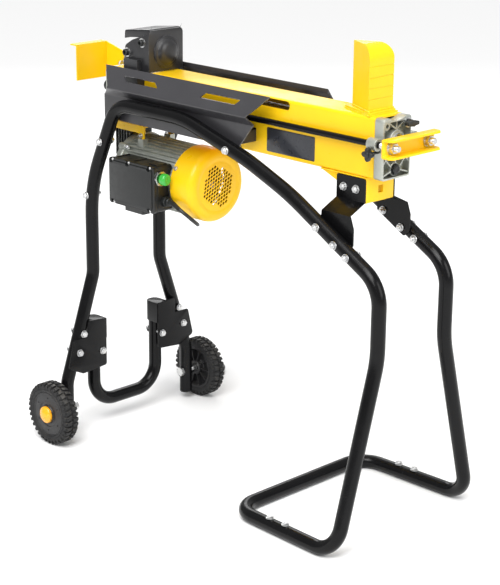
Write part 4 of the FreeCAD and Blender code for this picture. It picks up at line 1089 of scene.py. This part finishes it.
def make_small_controls():
    """Bleed screw with its four-lobed knob, and the dipstick with its wing."""
    low, high, middle = low_high("bleed_screw")
    knob = facing((middle.x, low.y + 0.0135, middle.z), (0, -1, 0))
    parts = [wing_knob(knob, 0.0142, 0.0088),
             lathe([(0, -0.003), (0.0068, -0.003), (0.0072, 0.004), (0.0062, 0.0104), (0.0050, 0.0114),
                    (0, 0.0118)], knob, 36)]
    stud = lathe([(0, 0), (0.003, 0), (0.003, 0.026), (0.0027, 0.0262), (0, 0.0262)],
                 facing((middle.x, low.y + 0.013, middle.z), (0, 1, 0)), 24)
    put("bleed_knob", [*parts, stud], "bleed", "black_plastic", ("bleed_screw",), sharp=40)
    low, high, middle = low_high("dipstick")
    face = high.x - 0.012
    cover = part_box("end_cover")[1].x
    place = facing((face, middle.y, middle.z), (1, 0, 0))
    wing = [(-0.016, -0.0035, 0.0030), (-0.006, -0.0048, 0.004), (0.006, -0.0048, 0.004),
            (0.016, -0.0035, 0.0030), (0.016, 0.0035, 0.0030), (0.006, 0.0048, 0.004),
            (-0.006, 0.0048, 0.004), (-0.016, 0.0035, 0.0030)]
    handle = plate(rounded(wing), 0.0115, place, (), 0.0012)
    hub = lathe([(0, -0.0048), (0.0068, -0.0048), (0.0074, -0.0020), (0.0074, 0.0030), (0.0060, 0.0116),
                 (0, 0.0119)], place, 40)
    put("dipstick_wing", [handle, hub], "dip", "black_plastic", ("dipstick",), sharp=40)
    stick = lathe([(0, 0), (0.003, 0), (0.003, face - low.x), (0, face - low.x)],
                  facing((low.x, middle.y, middle.z), (1, 0, 0)), 20)
    put("dipstick_blade", stick, "dip", "zinc_steel", material="zinc_steel")
    seat = lathe([(0.0078, -0.001), (0.0100, -0.001), (0.0100, 0.0016), (0.0078, 0.0016)],
                 facing((cover, middle.y, middle.z), (1, 0, 0)), 40)
    put("dipstick_seat", seat, "frame", "zinc_steel", sharp=30)


# --- motor, pump and switch box ----------------------------------------------------------


FIN_COUNT = 44
FIN_HEIGHT = 0.0055
EAR_ANGLES = (45, 135, 315)


def motor_axis(x):
    """Placement on the motor's axis. Local z runs along X."""
    return facing((x, 0, low_high("rotor")[2].z), (1, 0, 0))


def make_motor():
    """Aluminium motor frame with long cooling fins, two feet and end shields."""
    low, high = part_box("motor_frame")
    axis_z = low_high("rotor")[2].z
    rear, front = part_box("pump_housing")[1].x + 0.014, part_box("fan_cover")[0].x - 0.001
    tip = (high.z - low.z) / 2 - 0.004
    root = tip - FIN_HEIGHT
    outline = []
    for index in range(FIN_COUNT):
        angle = 2 * math.pi * index / FIN_COUNT
        beside_box = abs(angle - math.pi) < 0.62
        reach = root + 0.0005 if beside_box else tip
        wide = 0.42 * math.pi / FIN_COUNT
        thin = 0.22 * math.pi / FIN_COUNT
        for radius, turn in ((root, -wide), (reach, -thin), (reach, thin), (root, wide)):
            outline.append(Vector((radius * math.cos(angle + turn), radius * math.sin(angle + turn))))
    place = axes((rear, 0, axis_z), (0, 1, 0), (0, 0, 1))
    parts = [plate(outline, front - rear, place, (), 0.0003)]
    flange = [(0.03, -0.014), (tip + 0.0035, -0.014), (tip + 0.004, -0.013), (tip + 0.004, -0.003),
              (tip + 0.002, 0.001), (root, 0.003), (0.03, 0.003)]
    parts.append(lathe(flange, motor_axis(rear), 96))
    parts.append(lathe([(0.01, 0), (root - 0.002, 0), (root - 0.004, 0.007), (0.03, 0.009),
                        (0.01, 0.009)], motor_axis(front - 0.001), 64))
    ears = []
    for degrees in EAR_ANGLES:
        angle = math.radians(degrees)
        ears.append(((tip + 0.002) * math.cos(angle), axis_z + (tip + 0.002) * math.sin(angle)))
    for ear_y, ear_z in ears:
        parts.append(lathe([(0, -0.014), (0.0085, -0.014), (0.0085, 0.004), (0.0075, 0.005), (0, 0.005)],
                           facing((rear, ear_y, ear_z), (1, 0, 0)), 28))
    for side in (LEFT, RIGHT):
        parts.append(brick((-0.272, min(side * 0.047, side * 0.033), 0.680),
                           (-0.254, max(side * 0.047, side * 0.033), 0.704)))
    put("motor_finned_frame", parts, "frame", "cast_aluminium", ("motor_frame",), sharp=28)
    bolts = []
    for ear_y, ear_z in ears:
        bolts.append(hex_bolt(facing((rear + 0.005, ear_y, ear_z), (1, 0, 0)), 0.0058, True, 0.001))
        bolts.append(hexagon_nut(facing((rear - 0.014, ear_y, ear_z), (-1, 0, 0)), 0.0055, 0.005))
    for side in (LEFT, RIGHT):
        bolts.append(hex_bolt(facing((-0.263, side * 0.0452, 0.711), (0, side, 0)), 0.0058, True, 0.002))
    put("motor_bolts", bolts, "frame", "zinc_steel", sharp=30)


VENT_PITCH = 0.0085
VENT_LEAN = math.radians(22)
VENT_REACH = 0.0475
VENT_HALF = (0.0034, 0.0027)


def make_fan_cover():
    """Pressed cover with a rounded edge and a leaning grid of small vents."""
    low, high, middle = low_high("fan_cover")
    radius = (high.z - low.z) / 2
    depth = high.x - low.x
    place = facing((low.x, 0, middle.z), (1, 0, 0))
    bend = 0.018
    profile = [(radius - 0.0016, 0), (radius, 0)]
    for part in range(9):
        angle = math.radians(90 * part / 8)
        profile.append((radius - bend + bend * math.cos(angle), depth - bend + bend * math.sin(angle)))
    ridge = radius - bend - 0.004
    profile += [(ridge, depth - 0.0003), (ridge - 0.003, depth - 0.0012), (ridge - 0.006, depth - 0.0012),
                (ridge - 0.009, depth - 0.0004), (0, depth - 0.0004), (0, depth - 0.0024),
                (ridge - 0.010, depth - 0.0024), (radius - bend, depth - 0.0026)]
    for part in range(7):
        angle = math.radians(90 - 90 * part / 6)
        inner = bend - 0.0024
        profile.append((radius - bend + inner * math.cos(angle), depth - bend + inner * math.sin(angle)))
    shell = lathe(profile, place, 120)
    grid = []
    half_a, half_b = VENT_HALF
    hole = [(-half_a, -half_b, 0.0012), (half_a, -half_b, 0.0012), (half_a, half_b, 0.0012),
            (-half_a, half_b, 0.0012)]
    hole_turn = VENT_LEAN + 0.5
    across = (0, math.cos(hole_turn), math.sin(hole_turn))
    upward = (0, -math.sin(hole_turn), math.cos(hole_turn))
    for row in range(-7, 8):
        for column in range(-7, 8):
            u = (column + 0.5 * (row % 2)) * VENT_PITCH
            v = row * VENT_PITCH * 0.86
            in_hexagon = abs(u) * 0.92 + abs(v) * 0.80 < VENT_REACH
            if not in_hexagon or max(abs(u), abs(v)) >= VENT_REACH * 0.93:
                continue
            y = u * math.cos(VENT_LEAN) - v * math.sin(VENT_LEAN)
            z = u * math.sin(VENT_LEAN) + v * math.cos(VENT_LEAN)
            vent = axes((high.x - 0.006, y, middle.z + z), across, upward)
            grid.append(plate(rounded(hole, 30), 0.012, vent, (), 0.0))
    put("fan_cover_pressing", carved(shell, *grid), "frame", "yellow_paint", ("fan_cover",), sharp=34)
    screws = []
    for angle in (150, 30, 270):
        turn = math.radians(angle)
        y, z = radius * math.cos(turn), middle.z + radius * math.sin(turn)
        screws.append(hex_bolt(facing((low.x + 0.008, y - 0.0002 * math.cos(turn), z),
                                      (0, math.cos(turn), math.sin(turn))), 0.0048, True, 0.0008))
    put("fan_cover_screws", screws, "frame", "zinc_steel", sharp=30)


def make_pump_housing():
    """Dark finned bell between the motor and the beam, with the gear pump inside."""
    low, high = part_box("pump_housing")
    axis_z = low_high("rotor")[2].z
    end = high.x
    start = low.x
    depth = end - start
    bell = [(0.012, 0), (0.034, 0), (0.037, 0.002), (0.040, 0.010), (0.056, depth - 0.006),
            (0.066, depth - 0.004), (0.067, depth), (0.012, depth)]
    parts = [lathe(bell, motor_axis(start), 72)]
    for index in range(16):
        angle = 2 * math.pi * index / 16
        fin = brick((0.004, -0.0014, 0.030), (depth - 0.003, 0.0014, 0.063))
        for vert in fin.verts:
            if vert.co.x < 0.01 and vert.co.z > 0.05:
                vert.co.z = 0.042
        fin.transform(Matrix.Translation((start, 0, axis_z)) @ Matrix.Rotation(angle, 4, "X"))
        parts.append(fin)
    neck = flat_plate([(start + 0.004, -0.032, 0.006), (end - 0.002, -0.032, 0.006),
                       (end - 0.002, 0.032, 0.006), (start + 0.004, 0.032, 0.006)], axis_z + 0.010,
                      high.z, (), 0.0005)
    parts.append(neck)
    for step in range(5):
        x = start + 0.007 + step * 0.009
        for side in (LEFT, RIGHT):
            parts.append(brick((x, min(side * 0.031, side * 0.037), axis_z + 0.028),
                               (x + 0.0026, max(side * 0.031, side * 0.037), high.z - 0.004)))
    for y in (-0.024, -0.012, 0, 0.012, 0.024):
        parts.append(brick((start + 0.0005, y - 0.0013, axis_z + 0.032),
                           (start + 0.006, y + 0.0013, high.z - 0.004)))
    put("pump_bell", parts, "frame", "cast_aluminium", ("pump_housing",), material="dark_casting",
        sharp=30)


BOX_CORNER = 0.006
LID_INSET = 0.0045


def make_switch_box():
    """Box of the switch, seated against the round motor, with its rear foot and ribs."""
    low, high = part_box("switch_box")
    lid_low, lid_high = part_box("switch_lid")
    bottom, top, seam = lid_low.z, lid_high.z, lid_high.y
    motor_low, motor_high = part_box("motor_frame")
    motor_r = (motor_high.z - motor_low.z) / 2 - 0.004
    body = side_plate(oblong((low.x, bottom), (high.x, top), BOX_CORNER), seam + 0.0002, high.y, (),
                      0.0008)
    foot = [(low.x + 0.038, seam + 0.002, 0.004), (low.x + 0.100, seam + 0.002, 0.004),
            (low.x + 0.100, seam + 0.026, 0.006), (low.x + 0.038, seam + 0.026, 0.006)]
    lug = flat_plate(foot, low.z, bottom + 0.002, (), 0.001)
    slope = brick((high.x - 0.030, seam + 0.006, top - 0.002),
                  (high.x - 0.006, high.y - 0.010, top + 0.0035))
    ribs = [brick((x, seam + 0.004, top - 0.001), (x + 0.003, high.y - 0.006, top + 0.0018))
            for x in (low.x + 0.012, low.x + 0.070)]
    side_rib = brick((high.x - 0.001, seam + 0.0035, bottom + 0.010),
                     (high.x + 0.0016, seam + 0.0059, top - 0.010))
    seat = lathe([(0, -0.01), (motor_r + 0.0003, -0.01), (motor_r + 0.0003, 0.20), (0, 0.20)],
                 motor_axis(low.x), 120)
    box = carved(merged(body, lug, slope, *ribs, side_rib), seat)
    put("switch_body", box, "frame", "black_plastic", ("switch_box",), material="switch_plastic",
        bevel=0.0006)


def make_switch_lid():
    """Lid with a raised panel and five screws in notches along its rim."""
    low, high, middle = low_high("switch_lid")
    rim = oblong((low.x - 0.0008, low.z - 0.0008), (high.x + 0.0008, high.z + 0.0008), BOX_CORNER + 0.001)
    lid = side_plate(rim, low.y + 0.0028, high.y, (), 0.0012)
    panel = oblong((low.x + LID_INSET, low.z + LID_INSET), (high.x - LID_INSET, high.z - LID_INSET),
                   BOX_CORNER)
    raised = side_plate(panel, low.y, low.y + 0.004, (), 0.0015)
    seat_y = low.y + 0.0068
    upper, lower = high.z - 0.004, low.z + 0.004
    places = ((low.x + 0.064, upper), (high.x - 0.014, upper), (low.x + 0.014, lower),
              (high.x - 0.014, lower), (low.x + 0.010, upper))
    notches, screws = [], []
    for x, z in places:
        way = 1 if z > middle.z else -1
        outline = [(x - 0.0055, z - way * 0.006, 0.003), (x + 0.0055, z - way * 0.006, 0.003),
                   (x + 0.0055, z + way * 0.009), (x - 0.0055, z + way * 0.009)]
        notches.append(side_plate(outline, low.y - 0.004, seat_y, (), 0.0))
        head = [(0, -0.001), (0.0034, -0.001), (0.0034, 0.0014), (0.0026, 0.0021), (0, 0.0021)]
        screws.append(lathe(head, facing((x, seat_y, z + way * 0.0005), (0, -1, 0)), 28))
    put("switch_cover", carved(merged(lid, raised), *notches), "frame", "black_plastic", ("switch_lid",),
        material="switch_plastic", bevel=0.0004)
    put("lid_screws", screws, "frame", "zinc_steel", sharp=30)


def make_start_button():
    """Plated nut, collar and thread of the button, and its domed green cap."""
    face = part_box("switch_lid")[1].x
    middle = low_high("button_bezel")[2]
    place = facing((face, middle.y, middle.z), (1, 0, 0))
    nut = hexagon_nut(place, 0.0168, 0.0026)
    collar = [(0.0138, 0.002), (0.0155, 0.002), (0.0158, 0.0028), (0.0158, 0.0050), (0.0150, 0.0056),
              (0.0140, 0.0056), (0.0136, 0.0040)]
    thread = [(0.0075, -0.010), (0.0088, -0.010), (0.0088, 0.0026), (0.0128, 0.0028), (0.0132, 0.0032),
              (0.0132, 0.0040), (0.0112, 0.0044), (0.0075, 0.0044)]
    metal = merged(nut, lathe(collar, place, 48), lathe(thread, place, 48))
    put("button_ring", metal, "frame", "chrome_rod", ("button_bezel",), material="zinc_steel", sharp=30)
    low, high, middle = low_high("start_button")
    radius = (high.z - low.z) / 2
    rest = face + 0.0096
    height = high.x - rest
    cap = [(0, -0.0028), (0.0068, -0.0028), (0.0068, 0), (radius - 0.0012, 0), (radius, 0.0012),
           (radius, height - 0.0050), (radius - 0.0010, height - 0.0024),
           (radius - 0.0034, height - 0.0007), (radius - 0.0060, height),
           (radius - 0.0085, height - 0.0007), (0, height - 0.0011)]
    button = lathe(cap, facing((rest, middle.y, middle.z), (1, 0, 0)), 56)
    put("button_cap", button, "button", "green_plastic", ("start_button",), sharp=34)


# --- mains lead ------------------------------------------------------------------------

CORD_ROUTE = [
    (-0.1144, -0.0864, 0.5928), (-0.088, -0.089, 0.5835), (-0.0705, -0.0755, 0.5665),
    (-0.0705, -0.054, 0.549), (-0.089, -0.033, 0.5385), (-0.176, 0.004, 0.54), (-0.17, 0.058, 0.5505),
    (-0.176, 0.076, 0.562), (-0.208, 0.098, 0.592), (-0.246, 0.109, 0.606), (-0.29, 0.111, 0.6),
    (-0.335, 0.118, 0.58), (-0.372, 0.127, 0.546), (-0.388, 0.124, 0.5), (-0.39, 0.118, 0.45),
    (-0.387, 0.118, 0.398), (-0.388, 0.128, 0.345), (-0.389, 0.146, 0.295), (-0.388, 0.163, 0.245),
    (-0.395, 0.182, 0.196), (-0.42, 0.208, 0.16), (-0.45, 0.236, 0.124), (-0.478, 0.262, 0.084),
    (-0.494, 0.288, 0.042), (-0.504, 0.307, 0.015), (-0.5125, 0.325, 0.0045),
]
CORD_RADIUS = 0.004
COIL_CENTRE = Vector((-0.474, 0.346, 0))
COIL_STEP = 18
COIL_TURNS = 3
COIL_END = 45
LOOP_RADIUS = 0.033
LOOP_SWEEP = 285
LOOP_POINTS = 19
LOOP_RISE_FROM = 0.35
LOOP_RISE_TO = 1.25


def eased(share):
    """Smooth step from 0 to 1."""
    return share * share * (3 - 2 * share)


def coil_level(travel):
    """Radius and height of the coiled lead after an angle travelled, in degrees.

    The first layer has an outer and an inner turn, the second lies on both, and the end comes down outside.
    """
    levels = (
        (0, 0.044, 0.0042), (300, 0.044, 0.0042), (360, 0.036, 0.0042), (585, 0.036, 0.0042),
              (612, 0.0362, 0.0088),
        (640, 0.0386, 0.0120), (1089, 0.0386, 0.0122), (1150, 0.0465, 0.0122), (1235, 0.0470, 0.0118),
              (1325, 0.0523, 0.0044),
    )
    for (start, radius, height), (end, next_radius, next_height) in zip(levels, levels[1:]):
        if travel <= end:
            share = eased((travel - start) / (end - start))
            return radius + (next_radius - radius) * share, height + (next_height - height) * share
    return levels[-1][1:]


def coil_points(entry):
    """Turns of the coil, clockwise from the place where the lead comes in."""
    first = entry - COIL_CENTRE
    start = math.degrees(math.atan2(first.y, first.x)) % 360
    total = start + COIL_END + COIL_TURNS * 360
    steps = round(total / COIL_STEP)
    points = []
    for step in range(1, steps + 1):
        travel = total * step / steps
        radius, height = coil_level(travel)
        angle = math.radians(start - travel)
        points.append(COIL_CENTRE + Vector((radius * math.cos(angle), radius * math.sin(angle), height)))
    return points


def loop_points(last, plug_z):
    """One loose loop beside the coil that climbs towards the plug."""
    outward = (last - COIL_CENTRE).xy.normalized()
    centre = last.xy + outward * LOOP_RADIUS
    start = math.degrees(math.atan2(-outward.y, -outward.x))
    points = []
    for step in range(1, LOOP_POINTS + 1):
        share = step / LOOP_POINTS
        angle = math.radians(start + LOOP_SWEEP * share)
        rise = max(share - LOOP_RISE_FROM, 0) / (LOOP_RISE_TO - LOOP_RISE_FROM)
        height = last.z + (plug_z - last.z) * eased(rise)
        points.append(Vector((centre.x + LOOP_RADIUS * math.cos(angle),
                              centre.y + LOOP_RADIUS * math.sin(angle), height)))
    return points


def lead_points():
    """The route of the lead, its coil and its way into the plug, as one line."""
    line = [Vector(point) for point in CORD_ROUTE]
    line += coil_points(line[-1])
    high, middle = low_high("power_plug")[1:]
    nose, plug_y, plug_z = high.x, middle.y, middle.z
    line += loop_points(line[-1], plug_z)
    line.append(Vector((nose + 0.012, plug_y - 0.002, plug_z - 0.0008)))
    line += [Vector((nose - inside, plug_y, plug_z)) for inside in (0.002, 0.016)]
    return line


def make_lead():
    """Mains lead with its coil, gland, strain relief and plug."""
    points = lead_points()
    curve = bpy.data.curves.new("mains_lead", "CURVE")
    curve.dimensions = "3D"
    spline = curve.splines.new("NURBS")
    spline.points.add(len(points) - 1)
    for point, place in zip(spline.points, points):
        point.co = (*place, 1)
    spline.order_u = 3
    spline.use_endpoint_u = True
    spline.resolution_u = 6
    curve.bevel_depth = CORD_RADIUS
    curve.bevel_resolution = 5
    curve.use_fill_caps = True
    lead = bpy.data.objects.new("mains_lead", curve)
    bpy.context.scene.collection.objects.link(lead)
    curve.materials.append(LOOKS["cord_rubber"])
    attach(lead, "frame")
    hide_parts("power_cord", "cord_coil")
    make_gland()
    plug = make_plug()


def make_gland():
    """Hexagonal gland with a ribbed cap nut, and the tapered sleeve on the lead."""
    middle = low_high("cable_gland")[2]
    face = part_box("switch_lid")[1].x
    place = facing((face, middle.y, middle.z), (1, 0, 0))
    parts = [hexagon_nut(place, 0.0122, 0.0088)]
    bore = CORD_RADIUS + 0.0001
    body = [(bore, -0.008), (0.0078, -0.008), (0.0078, 0.008), (0.0094, 0.0088), (0.0096, 0.0150),
            (0.0086, 0.0168), (0.0066, 0.0172), (0.0062, 0.0236), (0.0055, 0.0242), (bore, 0.0242)]
    parts.append(lathe(body, place, 48))
    for index in range(16):
        rib = brick((0.0086, -0.0005, 0.0095), (0.0101, 0.0005, 0.0158))
        rib.transform(place @ Matrix.Rotation(2 * math.pi * index / 16, 4, "Z"))
        parts.append(rib)
    put("gland_body", parts, "frame", "black_plastic", ("cable_gland",), sharp=30)
    way = (Vector(CORD_ROUTE[1]) - Vector(CORD_ROUTE[0])).normalized()
    sleeve = [(bore, -0.004), (0.0056, -0.004), (0.0056, 0.002)]
    for turn in range(5):
        size = 0.0057 - 0.00022 * turn
        start = 0.003 + turn * 0.0042
        sleeve += [(size, start), (size, start + 0.0024), (size - 0.0006, start + 0.0028),
                   (size - 0.0006, start + 0.0040)]
    sleeve += [(0.0045, 0.0246), (0.0043, 0.0255), (bore, 0.0255)]
    put("strain_relief", lathe(sleeve, facing(CORD_ROUTE[0], way), 36), "frame", "cord_rubber", sharp=30)


def make_plug():
    """Moulded two-pin mains plug with grip ribs."""
    high, middle = low_high("power_plug")[1:]
    bore = CORD_RADIUS + 0.0001
    face = high.x - 0.051
    place = facing((face, middle.y, middle.z), (1, 0, 0))
    profile = [(0, 0), (0.0150, 0), (0.0176, 0.0015), (0.0180, 0.004), (0.0180, 0.012), (0.0172, 0.018),
               (0.0150, 0.026), (0.0118, 0.0330), (0.0082, 0.0350)]
    for turn in range(4):
        start = 0.0360 + turn * 0.0036
        profile += [(0.0080 - 0.0005 * turn, start), (0.0078 - 0.0005 * turn, start + 0.0020),
                    (0.0066 - 0.0004 * turn, start + 0.0024), (0.0066 - 0.0004 * turn, start + 0.0032)]
    profile += [(0.0056, 0.0510), (bore, 0.0510), (bore, 0.034), (0, 0.034)]
    body = lathe(profile, place, 56)
    pins = []
    for y in (-0.0095, 0.0095):
        pins.append(lathe([(0, -0.0188), (0.0015, -0.0188), (0.0023, -0.0178), (0.0024, 0.0005),
                           (0, 0.0005)], facing((face, middle.y + y, middle.z), (1, 0, 0)), 24))
    put("plug_pins", pins, "frame", "zinc_steel", sharp=30)
    return put("plug_body", body, "frame", "cord_rubber", ("power_plug",), sharp=30)


# --- pusher, stand plates and rear casting ---------------------------------------------------


def slot_of(node):
    """Material slot that the record gives a CAD node."""
    return next(part["material_slot"] for part in frame["record"]["subparts"] if part["node"] == node)


def make_pusher():
    """Pusher folded from sheet, with a sloping hood, a domed boss and its socket-head bolts."""
    low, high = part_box("pusher_shell")
    half, bed, top = high.y, low.z, high.z
    dome_height = 0.0135
    face = high.x - dome_height
    sheet = 0.004
    front_outline = [(-half, bed), (half, bed), (half, top + 0.005, 0.010), (-half, top + 0.005, 0.010)]
    parts = [end_plate(front_outline, face - sheet, face, (), 0.0012)]
    cheek = [(face - 0.002, bed), (face - 0.002, top - 0.001), (face - 0.056, top - 0.020, 0.010),
             (face - 0.080, top - 0.034, 0.012), (face - 0.080, bed)]
    parts.append(side_plate(cheek, -half, -half + sheet, (), 0.0005))
    parts.append(side_plate(cheek, half - sheet, half, (), 0.0005))
    hood = [(face - 0.001, top + 0.0075, 0.004), (face - 0.086, top - 0.002, 0.004),
            (face - 0.088, top - 0.020, 0.001), (face - 0.085, top - 0.020, 0.001),
            (face - 0.083, top - 0.0052, 0.002), (face - 0.003, top + 0.004, 0.001)]
    parts.append(side_plate(hood, -half + 0.006, half - 0.006, (), 0.0006))
    hood_side = [(face - 0.002, top + 0.006), (face - 0.086, top - 0.003),
                 (face - 0.086, top - 0.018, 0.003), (face - 0.002, top - 0.010)]
    for y in (-half + 0.006, half - 0.009):
        parts.append(side_plate(hood_side, y, y + 0.003, (), 0.0005))
    radius = 0.0355
    dome = [(0, -0.001), (radius, -0.001), (radius, 0.0022), (radius - 0.0015, 0.0036), (0.0285, 0.0050),
            (0.0255, 0.0082), (0.0210, 0.0112), (0.0120, 0.0130), (0, 0.0134)]
    parts.append(lathe(dome, facing((face, 0, top - 0.0445), (1, 0, 0)), 72))
    put("pusher_panels", parts, "ram", slot_of("pusher_shell"), ("pusher_shell",), sharp=30)
    heads, washers = [], []
    for back, z in ((0.022, 0.919), (0.072, 0.893)):
        for side in (LEFT, RIGHT):
            place = facing((face - back, side * half, z), (0, side, 0))
            washers.append(lathe([(0.003, 0), (0.0102, 0), (0.0104, 0.0004), (0.0102, 0.0013),
                                  (0.003, 0.0013)], place, 40))
            head = [(0, 0.0012), (0.0075, 0.0012), (0.0075, 0.0078), (0.0068, 0.0087), (0.0044, 0.0087),
                    (0.0040, 0.0080), (0.0040, 0.0045), (0, 0.0045)]
            heads.append(lathe(head, place, 36))
    put("pusher_bolt_heads", heads, "ram", slot_of("pusher_bolts"), ("pusher_bolts",),
        material="switch_plastic")
    put("pusher_washers", washers, "ram", "zinc_steel", sharp=30)


def make_hoop_plates():
    """Plates that hold the low hoop, folded round its upper ends."""
    low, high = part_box("hoop_plates")
    web_low = high.x - 0.003
    web = [(-0.176, 0.238, 0.006), (-0.192, 0.172, 0.008), (-0.150, 0.152, 0.008), (-0.080, 0.158, 0.006),
           (-0.080, 0.272, 0.004), (-0.134, 0.276, 0.006), (-0.134, 0.238)]
    hoop_y = -0.09525
    sleeve = [(web_low + 0.001, hoop_y - 0.018), (web_low + 0.001, hoop_y + 0.018),
              (low.x, hoop_y + 0.018, 0.0165), (low.x, hoop_y - 0.018, 0.0165)]
    bottom = 0.222
    near = merged(end_plate(web, web_low, high.x, (), 0.0005), flat_plate(sleeve, bottom, high.z - 0.004,
                                                                          (), 0.0018))
    put("hoop_plate_pair", both_sides(near), "frame", slot_of("hoop_plates"), ("hoop_plates",), sharp=35)


def make_rear_casting():
    """Cast block at the rear of the beam, with ribs, rounded edges and four bolts."""
    low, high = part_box("rear_block")
    outline = oblong((-high.y, low.z), (high.y, high.z), 0.010)
    collar_x = high.x - 0.010
    parts = [end_plate(outline, low.x, collar_x, (), 0.003), end_plate(outline, collar_x + 0.001, high.x,
                                                                       (), 0.001)]
    for z in (0.760, 0.785, 0.830):
        for side in (LEFT, RIGHT):
            y = side * high.y
            parts.append(brick((low.x + 0.006, min(y, y + side * 0.002), z - 0.002),
                               (high.x - 0.012, max(y, y + side * 0.002), z + 0.002)))
    bolts = []
    boss = [(0, -0.002), (0.0085, -0.002), (0.0082, 0.003), (0.0074, 0.0036), (0, 0.0036)]
    for side in (LEFT, RIGHT):
        for z in (low.z + 0.014, high.z - 0.014):
            y = side * (high.y - 0.013)
            parts.append(lathe(boss, facing((low.x, y, z), (-1, 0, 0)), 36))
            bolts.append(hex_bolt(facing((low.x - 0.0036, y, z), (-1, 0, 0)), 0.0065, False, 0.0))
    put("rear_casting", parts, "frame", slot_of("rear_block"), ("rear_block",), sharp=30)
    put("rear_casting_bolts", bolts, "frame", "zinc_steel", sharp=30)


def make_side_panel():
    """Plain dark sticker on the left side of the beam."""
    y = -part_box("beam_shell")[1].y
    outline = oblong((0.127, 0.742), (0.262, 0.792), 0.003)
    put("plain_sticker", side_plate(outline, y - 0.0005, y - 0.0001, (), 0.0001), "frame",
        "black_plastic", material="label_film")


# --- making ----------------------------------------------------------------------

make_camera()
LOOKS = make_materials()
make_lead()
make_studio()
for part in frame["record"]["subparts"]:
    give(frame["nodes"][part["node"]], LOOKS[part["material_slot"]])
make_bolts()
make_tube_plugs()
for side, word in ((LEFT, "left"), (RIGHT, "right")):
    make_wheel(side, word)
make_beam()
make_beam_foot()
make_wedge()
make_guards()
make_end_cover()
make_yoke()
make_small_controls()
make_motor()
make_fan_cover()
make_pump_housing()
make_switch_box()
make_switch_lid()
make_start_button()
make_pusher()
make_hoop_plates()
make_rear_casting()
make_side_panel()
